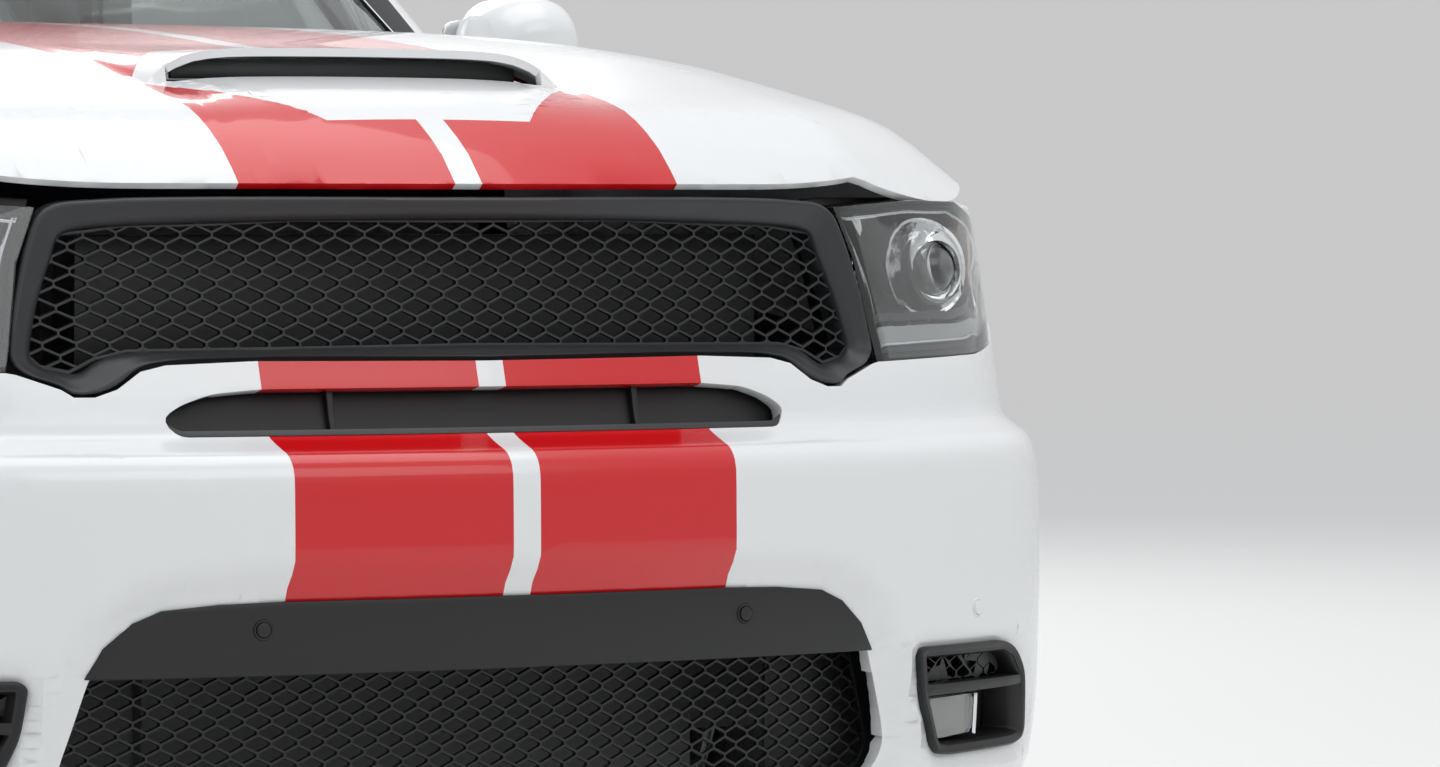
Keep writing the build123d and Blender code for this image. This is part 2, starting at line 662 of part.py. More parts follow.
# Grille surround, its mesh, lower grille with its lip, fog lamps and head lamps
front_face = end_band(front_levels(BODY_LEVELS[4:]), 1900, 0, 45, BODY_FRONT, 1)
surround = without(
    common(front_face, front_prism(GRILLE, 2000, 2700)), front_prism(GRILLE_OPENING, 2000, 2700)
)
save("grille_surround", whole(surround))
MESH_INSET, LEAN = 22.0, 0.207
MESH_LOW = (783.0, NOSE - BODY_LEVELS[5][1] + 4 - MESH_INSET)
MESH_HIGH = (985.0, MESH_LOW[1] - LEAN * 202)
save("grille_mesh", whole(lattice(GRILLE_OPENING, MESH_LOW, MESH_HIGH, 39.0, 14.1)))
LIP_INSET, LIP_DEPTH, LIP_LOW = 20.0, 58.0, 448.0
lip_band = end_band(front_rows[2:5], 1900, LIP_INSET, LIP_DEPTH, BODY_FRONT, 1)
lip = common(lip_band, front_prism(INTAKE, 2000, 2700), box((2000, 2700), (0, 600), (LIP_LOW, 540)))
LOWER_TOP = LIP_LOW - FIT
LOWER_OPENING = [(0, LOWER_TOP), (540, LOWER_TOP), (571, 351), (573, 330), (560, 306), (530, 292), (0, 290)]
LOWER_HIGH = (460.0, NOSE - 72)
LOWER_LOW = (286.0, LOWER_HIGH[1] - 8)
lower_mesh = lattice(LOWER_OPENING, LOWER_LOW, LOWER_HIGH, 34.0, 13.2)
slot_insert = common(
    end_band(front_rows[6:9], 1900, SKIN + FIT, 10, BODY_FRONT, 1), front_prism(SLOT, 2000, 2700, grow=8)
)
save("lower_grille", whole(joined(lip, slot_insert)))
save("lower_mesh", whole(lower_mesh))
FOG_DEPTH = 58.0


def fog_band(inset, depth):
    return end_band(front_rows[:4], 1900, inset, depth, BODY_FRONT, 1)


fog_cup = common(
    joined(
        common(fog_band(2, FOG_DEPTH), front_prism(FOG, 1900, 2700, grow=-FIT)),
        common(fog_band(SKIN + FIT, 30), front_prism(FOG, 1900, 2700, grow=8)),
    ),
    box((1900, 2700), (600, 1000), (250, 500)),
)
FOG_BAR = [(600, 402), (900, 404), (900, 392), (600, 388)]
fog_room = without(
    common(fog_band(-5, FOG_DEPTH - 3), front_prism(FOG, 1900, 2700, grow=-9)),
    front_prism(FOG_BAR, 1900, 2700),
)
FOG_LAMP = [(630, 386), (738, 388), (738, 336), (654, 330)]
fog_light = common(fog_band(22, FOG_DEPTH - 22), front_prism(FOG_LAMP, 1900, 2700))
save("fog_lamps", whole(joined(without(fog_cup, fog_room), fog_light)))
# Head lamp: a cup behind the lens with a flange behind the skins, and the projector in it
LAMP_DEPTH, LAMP_WALL, LENS_OUTSIDE = 112.0, 6.0, 6.0
lamp_place = box((2148 + FIT, 2700), (0, 1000), (700, 1100))


def lamp_band(inset, depth, grow):
    """Layer of the head lamp behind the body's surface, in the lamp's outline moved outwards by grow."""
    layer = end_band(front_levels(BODY_LEVELS[4:8]), 1900, inset, depth, BODY_FRONT, 1)
    return common(layer, front_prism(HEADLAMP, 2100, 2700, grow=grow))


cup = common(lamp_band(LENS_OUTSIDE + FIT, LAMP_DEPTH, TRIM_GAP / 2 - FIT), lamp_place)
flange = common(lamp_band(45 + FIT, 12, 12), box((2100, 2700), (0, 1000), (700, 995)))
lamp_room = lamp_band(-5, LAMP_DEPTH - 6, -LAMP_WALL)
PROJECTOR = (742.0, 905.0)
PROJECTOR_OUTER, PROJECTOR_INNER = 46.0, 34.0
projector = without(
    rod((2150, *PROJECTOR), (2360, *PROJECTOR), PROJECTOR_OUTER),
    rod((2335, *PROJECTOR), (2700, *PROJECTOR), PROJECTOR_INNER),
)
projector = common(projector, lamp_band(20, LAMP_DEPTH - 16, 0))
save("headlamp_housings", whole(joined(without(joined(cup, flange), lamp_room), projector)))
lens = common(lamp_band(2, LENS_OUTSIDE - 2, TRIM_GAP / 2 - FIT), lamp_place)
save("headlamp_lenses", whole(lens))

# Rear bumper, tail lamps and liftgate
PIPE_Y, PIPE_Z, PIPE_RADIUS, PIPE_END, PIPE_ROOM = 570.0, 372.0, 42.0, -2505.0, 22.0
SHELF = BUMPER_LEVELS[7][0] - FIT
REAR_BUMPER = [(-3000, 240), (-3000, SHELF), (-1700, SHELF), (-1700, 240)]
rear_band = end_band(rear_levels(BUMPER_LEVELS[:8]), -1600, 0, SKIN, BODY_REAR, -1)
rear_bumper = without(
    common(rear_band, side_prism(REAR_BUMPER, -1, 1300)),
    rear_arch,
    rod((-3000, PIPE_Y, PIPE_Z), (PIPE_END + 200, PIPE_Y, PIPE_Z), PIPE_RADIUS + PIPE_ROOM),
)
save("rear_bumper", whole(rear_bumper))
rear_face = rear_levels(BODY_LEVELS[4:])
gate_core, gate_skin = [
    joined(
        end_band(rear_face, -2000, 0, wall, BODY_REAR, -1),
        end_band(CABIN_REAR_LEVELS, -1500, 0, wall, CABIN_REAR, -1),
        roof_top,
    )
    for wall in (FRAME_WALL, GATE_SKIN)
]
GATE_WINDOW = [(0, 1178), (655, 1178), (668, 1200), (490, 1585), (465, 1605), (0, 1605)]
gate_prism = front_prism(LIFTGATE, -3000, GATE_FRONT)
core_prism = front_prism(GATE_CORE, -3000, GATE_FRONT)
gate_window = front_prism(GATE_WINDOW, -3000, -1800)
gate = without(joined(common(gate_skin, gate_prism), common(gate_core, core_prism)), gate_window)
gate_lamp_zone = box((-3000, -2200), (0, 1000), (TAIL_LAMP[0][1], TAIL_LAMP[2][1]))
lamp_skin = end_band(rear_face, -2100, 0, SKIN, BODY_REAR, -1)
lamp_recess = common(end_band(rear_face, -2100, -5, SKIN + FIT + 5, BODY_REAR, -1), gate_lamp_zone)
BARREL_START, BARREL_END = BARREL_Y + FIT, BARREL_Y + BARREL_LENGTH
gate_barrel = joined(
    rod((GATE_X, BARREL_START, GATE_Z), (GATE_X, BARREL_END, GATE_Z), BARREL_RADIUS),
    box((GATE_FRONT - 5, GATE_X), (BARREL_START, BARREL_END), (GATE_Z - 10, GATE_Z - 1)),
)
gate = joined(without(gate, lamp_recess), gate_barrel)
save("liftgate", whole(gate))
gate_pane = common(end_band(CABIN_REAR_LEVELS, -1500, GLASS_INSET, GLASS_WALL, CABIN_REAR, -1), gate_window)
save("liftgate_glass", whole(gate_pane))
save("liftgate_lamp", whole(common(lamp_skin, gate_lamp_zone, gate_prism)))
tail_lamp = without(
    common(lamp_skin, front_prism(TAIL_LAMP, -3000, TAIL + 330)),
    front_prism(LIFTGATE, -3000, -1800, grow=GATE_GAP),
)
save("tail_lamps", whole(tail_lamp))


# Wheels: tyre, alloy wheel with its brake disc. Each is made about its own centre, outboard along +Y
with BuildPart() as tyre:
    with BuildSketch(Plane.YZ):
        with BuildLine():
            half = TYRE_WIDTH / 2
            bead = RIM_WIDTH / 2 - 12 - FIT
            Line((-bead, RIM_RADIUS + FIT), (bead, RIM_RADIUS + FIT))
            Polyline((bead, RIM_RADIUS + FIT), (bead, RIM_RADIUS + 16))
            ThreePointArc((bead, RIM_RADIUS + 16), (half, 316), (half - 12, 366))
            ThreePointArc((half - 12, 366), (half - 22, 378), (half - 40, 383))
            ThreePointArc((half - 40, 383), (0, TYRE_RADIUS), (40 - half, 383))
            ThreePointArc((40 - half, 383), (22 - half, 378), (12 - half, 366))
            ThreePointArc((12 - half, 366), (-half, 316), (-bead, RIM_RADIUS + 16))
            Line((-bead, RIM_RADIUS + 16), (-bead, RIM_RADIUS + FIT))
        make_face()
    revolve(axis=Axis.Y)

FACE_OUT, FACE_IN = 88.0, 58.0
WIDE_WINDOW = [(94, -30), (94, 30), (214, 86), (234, 62), (234, -62), (214, -86)]
NARROW_WINDOW = [(112, -5), (112, 5), (232, 24), (232, -24)]
with BuildPart() as wheel:
    with BuildSketch(Plane.YZ):
        with BuildLine():
            rim_half = RIM_WIDTH / 2
            Polyline(
                (-rim_half, RIM_RADIUS + 10), (-rim_half + 8, RIM_RADIUS + 10), (-rim_half + 12, RIM_RADIUS),
                (rim_half - 12, RIM_RADIUS), (rim_half - 8, RIM_RADIUS + 10), (rim_half, RIM_RADIUS + 10),
                (rim_half, RIM_RADIUS), (rim_half - 10, RIM_RADIUS - RIM_WALL),
                (-rim_half, RIM_RADIUS - RIM_WALL), close=True,
            )
        make_face()
    revolve(axis=Axis.Y)
    with BuildSketch(Plane.XZ.offset(-FACE_IN)):
        Circle(RIM_RADIUS - RIM_WALL + 2)
        with PolarLocations(0, SPOKE_PAIRS, start_angle=54):
            Polygon(*WIDE_WINDOW, align=None, mode=Mode.SUBTRACT)
        with PolarLocations(0, SPOKE_PAIRS, start_angle=18):
            Polygon(*NARROW_WINDOW, align=None, mode=Mode.SUBTRACT)
    extrude(amount=FACE_IN - FACE_OUT)
    with BuildSketch(Plane.XZ.offset(-FACE_IN)):
        Circle(HUB_RADIUS - 8)
    extrude(amount=FACE_IN + 16)
    with BuildSketch(Plane.XZ.offset(16)):
        Circle(DISC_RADIUS)
    extrude(amount=-DISC_WALL)
    with BuildSketch(Plane.XZ.offset(30)):
        Circle(SPINDLE_RADIUS + FIT)
    extrude(amount=-FACE_IN - 10, mode=Mode.SUBTRACT)
for end, axle in (("front", FRONT_AXLE), ("rear", REAR_AXLE)):
    for side, y in (("left", WHEEL_Y), ("right", -WHEEL_Y)):
        for name, form in (("tyre", tyre.part), ("wheel", wheel.part)):
            with BuildPart() as placed:
                with Locations((axle, WHEEL_Y, AXLE_HEIGHT)):
                    add(form)
            save(f"{name}_{end}_{side}", placed.part if y > 0 else mirrored(placed.part))

# Knuckles that carry the front wheels and turn about the upright pins
KINGPIN_Y = WHEEL_Y - KINGPIN_INSET
POST_RADIUS = 26.0
POST_LOW, POST_HIGH = AXLE_HEIGHT - 140, AXLE_HEIGHT + 150
CALIPER_OUT, CALIPER_IN = 205.0, 110.0
with BuildPart() as caliper:
    with BuildSketch(Plane.XZ.offset(-WHEEL_Y - 34)):
        Circle(CALIPER_OUT)
        Circle(CALIPER_IN, mode=Mode.SUBTRACT)
        with BuildLine():
            Polyline((-400, 150), (-60, 30), (-60, -30), (-400, -150), (-400, -500), (500, -500), (500, 500),
                     (-400, 500), close=True)
        make_face(mode=Mode.SUBTRACT)
    extrude(amount=86)
caliper_body = without(
    caliper.part,
    rod((0, WHEEL_Y - 16 - 5, 0), (0, WHEEL_Y - 16 + DISC_WALL + 5, 0), DISC_RADIUS + 5),
)
with BuildPart() as placed_caliper:
    with Locations((FRONT_AXLE, 0, AXLE_HEIGHT)):
        add(caliper_body)
knuckle = joined(
    rod((FRONT_AXLE, KINGPIN_Y, POST_LOW), (FRONT_AXLE, KINGPIN_Y, POST_HIGH), POST_RADIUS),
    rod((FRONT_AXLE, KINGPIN_Y, AXLE_HEIGHT), (FRONT_AXLE, WHEEL_Y + 36, AXLE_HEIGHT), SPINDLE_RADIUS),
    box(
        (FRONT_AXLE - 150, FRONT_AXLE), (KINGPIN_Y - 6, KINGPIN_Y + 14), (AXLE_HEIGHT - 30, AXLE_HEIGHT + 30)
    ),
    placed_caliper.part,
)
BALL_RADIUS = 11.0
knuckle = without(
    knuckle,
    rod((FRONT_AXLE, KINGPIN_Y, POST_LOW - 5), (FRONT_AXLE, KINGPIN_Y, POST_LOW + 40), BALL_RADIUS + FIT),
    rod((FRONT_AXLE, KINGPIN_Y, POST_HIGH - 40), (FRONT_AXLE, KINGPIN_Y, POST_HIGH + 5), BALL_RADIUS + FIT),
)
save_sides("knuckle", knuckle)

# Front suspension: crossmember, lower arms with ball joints, struts up to their towers
ARM_TOP, ARM_WALL = POST_LOW - 8, 26.0
CHASSIS_Y = (380.0, 440.0)
with BuildPart() as lower_arm:
    with BuildSketch(Plane.XY.offset(ARM_TOP - ARM_WALL)):
        with BuildLine():
            Polyline(
                (FRONT_AXLE - 150, 330), (FRONT_AXLE + 150, 330), (FRONT_AXLE + 40, KINGPIN_Y + 20),
                (FRONT_AXLE - 40, KINGPIN_Y + 20), close=True,
            )
        make_face()
        with BuildLine():
            Polyline(
                (FRONT_AXLE - 80, 380), (FRONT_AXLE + 80, 380), (FRONT_AXLE + 24, 620),
                (FRONT_AXLE - 24, 620), close=True,
            )
        make_face(mode=Mode.SUBTRACT)
    extrude(amount=ARM_WALL)
DAMPER_X, DAMPER_Y = FRONT_AXLE - 85, 500.0
front_suspension = whole(joined(
    lower_arm.part,
    rod((FRONT_AXLE, KINGPIN_Y, ARM_TOP - 5), (FRONT_AXLE, KINGPIN_Y, POST_LOW + 30), BALL_RADIUS),
    box((FRONT_AXLE - 190, FRONT_AXLE + 190), (-1, 350), (ARM_TOP - ARM_WALL - 10, ARM_TOP + 70)),
    rod((DAMPER_X, DAMPER_Y, ARM_TOP - 5), (DAMPER_X, DAMPER_Y, 790), 22),
    rod((DAMPER_X, DAMPER_Y, 480), (DAMPER_X, DAMPER_Y, 795), 50),
    rod((FRONT_AXLE, KINGPIN_Y, POST_HIGH - 30), (FRONT_AXLE, KINGPIN_Y, POST_HIGH + 24), BALL_RADIUS),
    rod((FRONT_AXLE, KINGPIN_Y + 14, POST_HIGH + 22), (FRONT_AXLE, CHASSIS_Y[1] + FIT, POST_HIGH + 22), 13),
))
save("front_suspension", front_suspension)

# Rear suspension: subframe, lower arms, coil springs and hub carriers with their spindles
CARRIER_Y = WHEEL_Y - 70
with BuildPart() as rear_arm:
    with BuildSketch(Plane.XY.offset(240)):
        with BuildLine():
            Polyline(
                (REAR_AXLE - 150, 300), (REAR_AXLE + 150, 300), (REAR_AXLE + 140, 570),
                (REAR_AXLE + 60, CARRIER_Y + 10), (REAR_AXLE - 60, CARRIER_Y + 10), close=True,
            )
        make_face()
    extrude(amount=30)
rear_suspension = whole(joined(
    rear_arm.part,
    box((REAR_AXLE - 170, REAR_AXLE + 170), (-1, 330), (235, 300 - FIT)),
    box((REAR_AXLE - 45, REAR_AXLE + 45), (CARRIER_Y - 25, CARRIER_Y + 15), (250, AXLE_HEIGHT + 110)),
    rod((REAR_AXLE, CARRIER_Y, AXLE_HEIGHT), (REAR_AXLE, WHEEL_Y + 36, AXLE_HEIGHT), SPINDLE_RADIUS),
    rod((REAR_AXLE + 85, 520, 262), (REAR_AXLE + 85, 520, REAR_FLOOR_TOP - FLOOR_WALL - FIT), 50),
    rod((REAR_AXLE, CARRIER_Y - 20, AXLE_HEIGHT + 90), (REAR_AXLE, 460, AXLE_HEIGHT + 120), 15),
))
save("rear_suspension", rear_suspension)

# Floor: stepped pan with firewall, cut away at the wheel houses
FLOOR_LINE = [
    (FIREWALL_X, FLOOR_TOP - FLOOR_WALL), (FIREWALL_X + FIREWALL_WALL, FLOOR_TOP - FLOOR_WALL),
    (FIREWALL_X + FIREWALL_WALL, 1095), (FIREWALL_X, 1095), (FIREWALL_X, FLOOR_TOP), (STEP_X, FLOOR_TOP),
    (STEP_X, REAR_FLOOR_TOP), (CARGO_X, REAR_FLOOR_TOP), (CARGO_X, CARGO_FLOOR_TOP),
    (CARGO_END, CARGO_FLOOR_TOP),
    (CARGO_END, CARGO_FLOOR_TOP - 40), (CARGO_X - 60, CARGO_FLOOR_TOP - 40),
    (CARGO_X - 60, REAR_FLOOR_TOP - FLOOR_WALL), (STEP_X - FLOOR_WALL, REAR_FLOOR_TOP - FLOOR_WALL),
    (STEP_X - FLOOR_WALL, FLOOR_TOP - FLOOR_WALL),
]
floor_pan = without(
    side_prism(FLOOR_LINE, -1, FLOOR_HALF),
    arch_cut(FRONT_AXLE, LINER_RADIUS + LINER_WALL + 1, LINER_INNER_Y - LINER_WALL - 1),
    arch_cut(REAR_AXLE, LINER_RADIUS + LINER_WALL + 1, REAR_LINER_INNER_Y - LINER_WALL - 1),
)
TUNNEL_WALL = 18.0
TUNNEL = (480.0, 145.0, 572.0)
SHAFT_TUNNEL = (STEP_X - FLOOR_WALL - 1, 66.0, 486.0)
TUNNELS = [(TUNNEL, FIREWALL_X + FIREWALL_WALL + 1), (SHAFT_TUNNEL, TUNNEL[0] + 1)]
for (tunnel_x, half, height), end_x in TUNNELS:
    cover_x = (max(tunnel_x, STEP_X) - 1, end_x - 1)
    cover = box(cover_x, (-1, half + TUNNEL_WALL), (FLOOR_TOP - 10, height + TUNNEL_WALL))
    floor_pan = without(joined(floor_pan, cover), box((tunnel_x, end_x), (-2, half), (0, height)))
BEAM_DEPTH, BEAM_LOW, BEAM_SEAT = 50.0, 545.0, 2455.0
RAIL_END, CHASSIS_Z = 2430.0, (FLOOR_TOP + 60, FLOOR_TOP + 180)
front_rail = joined(
    box((FIREWALL_X, RAIL_END), CHASSIS_Y, CHASSIS_Z),
    box((RAIL_END - 30, BEAM_SEAT), CHASSIS_Y, (BEAM_LOW, CHASSIS_Z[1])),
)
bumper_beam = common(
    end_band(front_rows[3:8], 1900, SKIN + FIT, BEAM_DEPTH, BODY_FRONT, 1),
    box((1900, 2700), (0, 600), (BEAM_LOW, 640)),
)
save("floor_pan", whole(joined(floor_pan, front_rail, bumper_beam)))

# Wheel liners: arched shells over the wheels with an inner wall, open below and where the axle passes
LINER_END = AXLE_HEIGHT - 60


def wheel_liner(axle, inner_y, outer_y, door_half):
    shell = without(
        arch_cut(axle, LINER_RADIUS + LINER_WALL, inner_y - LINER_WALL, outer_y),
        arch_cut(axle, LINER_RADIUS, inner_y, outer_y + 1),
        box((axle - 600, axle + 600), (0, 1300), (-200, LINER_END)),
        box((axle - door_half, axle + door_half), (inner_y - 20, inner_y + 20), (0, 825)),
    )
    return shell


skin_room = end_band(front_levels(BODY_LEVELS), 1000, -40, SKIN + FIT + 40, BODY_FRONT, 1)
bumper_room = end_band(front_rows[:8], 1000, -40, SKIN + FIT + 40, BODY_FRONT, 1)
liner_front = without(wheel_liner(FRONT_AXLE, LINER_INNER_Y, 960.0, 230.0), skin_room, bumper_room)
liner_rear = wheel_liner(REAR_AXLE, REAR_LINER_INNER_Y, LINER_OUTER_Y, 150.0)
save("wheel_liners", joined(whole(liner_front), whole(liner_rear)))

# Powertrain: engine block, gearbox, propeller shaft, rear differential and half shafts, radiator pack
powertrain = joined(
    box((1330, 1930), (-310, 310), (365, 960)),
    box((620, 1331), (-130, 130), (330, 560)),
    rod((-1200, 0, 380), (640, 0, 430), 38),
    box((REAR_AXLE - 140, REAR_AXLE + 220), (-130, 130), (300, 470)),
    rod((REAR_AXLE, -CARRIER_Y + 30, AXLE_HEIGHT), (REAR_AXLE, CARRIER_Y - 30, AXLE_HEIGHT), 17),
    rod((FRONT_AXLE, -680, AXLE_HEIGHT), (FRONT_AXLE, 680, AXLE_HEIGHT), 17),
)
save("powertrain", powertrain)


# Radiator pack behind the grille, on the chassis rails
RADIATOR_X = 2262.0
radiator = joined(
    box((RADIATOR_X, RADIATOR_X + 55), (-470, 470), (FLOOR_TOP + 180 + FIT, 950)),
    box((RADIATOR_X, RADIATOR_X + 55), (-CHASSIS_Y[0] + FIT, CHASSIS_Y[0] - FIT), (300, 600)),
)
save("radiator", radiator)

# Fuel tank below the middle seats, and the exhaust on the right with its tail pipes
MUFFLER_X, MUFFLER_Z = -2190.0, 420.0
HANGER_Y, HANGER_RADIUS = 350.0, 8.0
tank = box((-520, 300), (110, 560), (215, FLOOR_TOP - FLOOR_WALL - FIT))
exhaust = joined(
    rod((1300, -230, 290), (-650, -230, 268), 30),
    rod((-650, -230, 268), (-1090, -230, 268), 60),
    rod((-1080, -230, 268), (-1190, -262, 452), 30),
    rod((-1190, -262, 452), (-1640, -300, 452), 30),
    rod((-1640, -300, 452), (-2130, -300, 420), 30),
    rod((MUFFLER_X, -470, MUFFLER_Z), (MUFFLER_X, 470, MUFFLER_Z), 92),
    *[
        rod((MUFFLER_X, y, MUFFLER_Z + 80), (MUFFLER_X, y, CARGO_FLOOR_TOP - 40 - FIT), HANGER_RADIUS)
        for y in (-HANGER_Y, HANGER_Y)
    ],
    *[rod((MUFFLER_X, y * 0.8, MUFFLER_Z), (PIPE_END, y, PIPE_Z), PIPE_RADIUS) for y in (-PIPE_Y, PIPE_Y)],
)
save("fuel_tank", tank)
save("exhaust", exhaust)

# Dashboard with centre console, and the steering wheel on its tilted column
DASH_HALF = 780.0
DASH_LINE = [
    (FIREWALL_X - FIT, 1080), (1000, 1098), (850, 1088), (770, 1040), (742, 930), (800, 860), (900, 730),
    (FIREWALL_X - FIT, 700),
]
CONSOLE_LINE = [(800, 900), (560, 700), (-60, 690), (-80, FLOOR_TOP), (900, FLOOR_TOP), (940, 730)]
WHEEL_CENTRE = (640.0, 370.0, 965.0)
COLUMN_TILT = 24.0
COLUMN = (cos(radians(COLUMN_TILT)), 0, -sin(radians(COLUMN_TILT)))
column_start = tuple(c + 30 * d for c, d in zip(WHEEL_CENTRE, COLUMN))
column_end = tuple(c + 260 * d for c, d in zip(WHEEL_CENTRE, COLUMN))
console = side_prism(CONSOLE_LINE, -110, 110)
for tunnel_x, half, height in (TUNNEL, SHAFT_TUNNEL):
    cover_y = (-half - TUNNEL_WALL, half + TUNNEL_WALL)
    console = without(console, box((tunnel_x - 1, FIREWALL_X), cover_y, (0, height + TUNNEL_WALL)))
dashboard = joined(side_prism(DASH_LINE, -DASH_HALF, DASH_HALF), console, rod(column_start, column_end, 32))
save("dashboard", dashboard)

GRIP_RADIUS = 15.0
STEERING_RADIUS = 178.0
with BuildPart() as steering_wheel:
    wheel_plane = Plane(origin=WHEEL_CENTRE, x_dir=(0, 1, 0), z_dir=COLUMN)
    with Locations(wheel_plane):
        Torus(STEERING_RADIUS, GRIP_RADIUS)
        Cylinder(62, 34)
    with BuildSketch(wheel_plane.offset(-6)):
        for angle in (0, 180, 270):
            with Locations(Location((0, 0, 0), (0, 0, angle))):
                with Locations(((STEERING_RADIUS + 40) / 2, 0)):
                    Rectangle(STEERING_RADIUS - 40, 34)
    extrude(amount=12)
    with BuildSketch(wheel_plane.offset(10)):
        Circle(28)
    extrude(amount=20 - FIT)
save("steering_wheel", steering_wheel.part)

# Seats: two in front, a bench of three places and a third row of two
SEAT_LINE = [
    (560, 0), (590, 60), (580, 120), (470, 132), (150, 100), (100, 130), (-40, 640), (-110, 660), (-150, 640),
    (-60, 60), (-20, 0),
]
HEADREST_LINE = [(-62, 668), (-66, 800), (-120, 815), (-165, 800), (-160, 668), (-120, 640)]


def seat(x, y, height, width, floor, heads, back=1.0):
    """One seat or bench: cushion and back in one profile, headrests, and its foot down to the floor."""
    line = [(x + px, height + pz * back) for px, pz in SEAT_LINE]
    head = [(x + px, height + pz * back) for px, pz in HEADREST_LINE]
    parts = [side_prism(line, y - width / 2, y + width / 2)]
    parts += [side_prism(head, y + place - 130, y + place + 130) for place in heads]
    parts.append(box((x + 20, x + 500), (y - width / 2 + 50, y + width / 2 - 50), (floor + FIT, height + 5)))
    return joined(*parts)


FRONT_SEAT_Y = 370.0
save("front_seats", whole(seat(60.0, FRONT_SEAT_Y, 610.0, 500.0, FLOOR_TOP, (0,))))
middle_seat = seat(-690.0, 0.0, 650.0, 1260.0, REAR_FLOOR_TOP, (-420, 0, 420), 0.95)
last_seat = seat(-1300.0, 0.0, 705.0, 1040.0, REAR_FLOOR_TOP, (-260, 260), 0.85)
save("rear_seats", joined(middle_seat, last_seat))

# Door mirrors: housing on a short arm, set against the front door's skin
MIRROR_X, MIRROR_Z = 862.0, 1176.0
with BuildPart() as mirror_housing:
    for y, width, height in ((948, 120, 120), (985, 170, 168), (1060, 165, 160), (1086, 105, 110)):
        with BuildSketch(Plane.XZ.offset(-y)):
            with Locations((MIRROR_X, MIRROR_Z)):
                RectangleRounded(width, height, 50)
    loft()
MIRROR_ARM = [(-45, -66), (30, -66), (20, -20), (-30, -20)]
mirror_arm = side_prism([(MIRROR_X + x, MIRROR_Z + z) for x, z in MIRROR_ARM], 880, 1000)
door_mirror = without(
    joined(mirror_housing.part, mirror_arm),
    side_band(0, DOOR_WALL, FRAME_WALL, 700, 1000),
    box((700, 1000), (700, 890), (1000, 1300)),
)
save_sides("mirror", door_mirror)
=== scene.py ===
# Dressed model of a full-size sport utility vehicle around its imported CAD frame. Lengths are metres, and
# tables of body lines are millimetres, times MM. +X is forward, +Y the vehicle's left, +Z up.
import json
import math
from bisect import bisect_right

import bmesh
import bpy
from mathutils import Matrix, Vector

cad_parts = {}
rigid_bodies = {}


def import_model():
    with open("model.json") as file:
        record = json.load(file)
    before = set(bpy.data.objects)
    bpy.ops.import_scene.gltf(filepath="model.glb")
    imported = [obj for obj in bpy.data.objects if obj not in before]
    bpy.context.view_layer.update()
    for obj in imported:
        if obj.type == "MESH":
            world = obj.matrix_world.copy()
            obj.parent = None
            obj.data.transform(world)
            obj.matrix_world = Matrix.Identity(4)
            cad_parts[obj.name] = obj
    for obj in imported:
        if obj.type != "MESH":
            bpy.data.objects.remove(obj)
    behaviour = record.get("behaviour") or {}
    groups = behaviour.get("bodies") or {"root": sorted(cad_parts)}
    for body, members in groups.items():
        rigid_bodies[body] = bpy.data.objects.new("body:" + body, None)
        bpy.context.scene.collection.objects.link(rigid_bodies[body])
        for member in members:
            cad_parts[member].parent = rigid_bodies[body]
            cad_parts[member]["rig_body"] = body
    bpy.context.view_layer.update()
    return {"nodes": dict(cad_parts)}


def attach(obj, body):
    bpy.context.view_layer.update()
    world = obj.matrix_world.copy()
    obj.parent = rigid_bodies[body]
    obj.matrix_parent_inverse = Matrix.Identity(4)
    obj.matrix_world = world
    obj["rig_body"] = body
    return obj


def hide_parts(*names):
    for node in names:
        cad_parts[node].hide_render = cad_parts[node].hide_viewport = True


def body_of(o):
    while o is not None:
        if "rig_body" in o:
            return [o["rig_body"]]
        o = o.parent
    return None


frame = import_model()
MM = 0.001

# ---- Camera ----
# A long lens about ten metres from the right front corner, at the height of the grille.
CAMERA_PLACE = Vector((10.0505, -4.6019, 1.066))
CAMERA_YAW, CAMERA_PITCH, CAMERA_ROLL = math.radians(33.0), math.radians(1.85), math.radians(0.34)
SENSOR_WIDTH, FOCAL_LENGTH = 36.0, 189.075
look = Vector((
    -math.cos(CAMERA_YAW) * math.cos(CAMERA_PITCH),
    math.sin(CAMERA_YAW) * math.cos(CAMERA_PITCH),
    -math.sin(CAMERA_PITCH),
))
level_right = Vector((math.sin(CAMERA_YAW), math.cos(CAMERA_YAW), 0.0))
level_up = level_right.cross(look)
right = level_right * math.cos(CAMERA_ROLL) + level_up * math.sin(CAMERA_ROLL)
up = level_up * math.cos(CAMERA_ROLL) - level_right * math.sin(CAMERA_ROLL)
camera_data = bpy.data.cameras.new("camera")
camera_data.sensor_width = SENSOR_WIDTH
camera_data.lens = FOCAL_LENGTH
camera_data.clip_end = 200.0
camera = bpy.data.objects.new("camera", camera_data)
turn = Matrix((right, up, -look)).transposed().to_4x4()
camera.matrix_world = Matrix.Translation(CAMERA_PLACE) @ turn
bpy.context.scene.collection.objects.link(camera)
bpy.context.scene.camera = camera

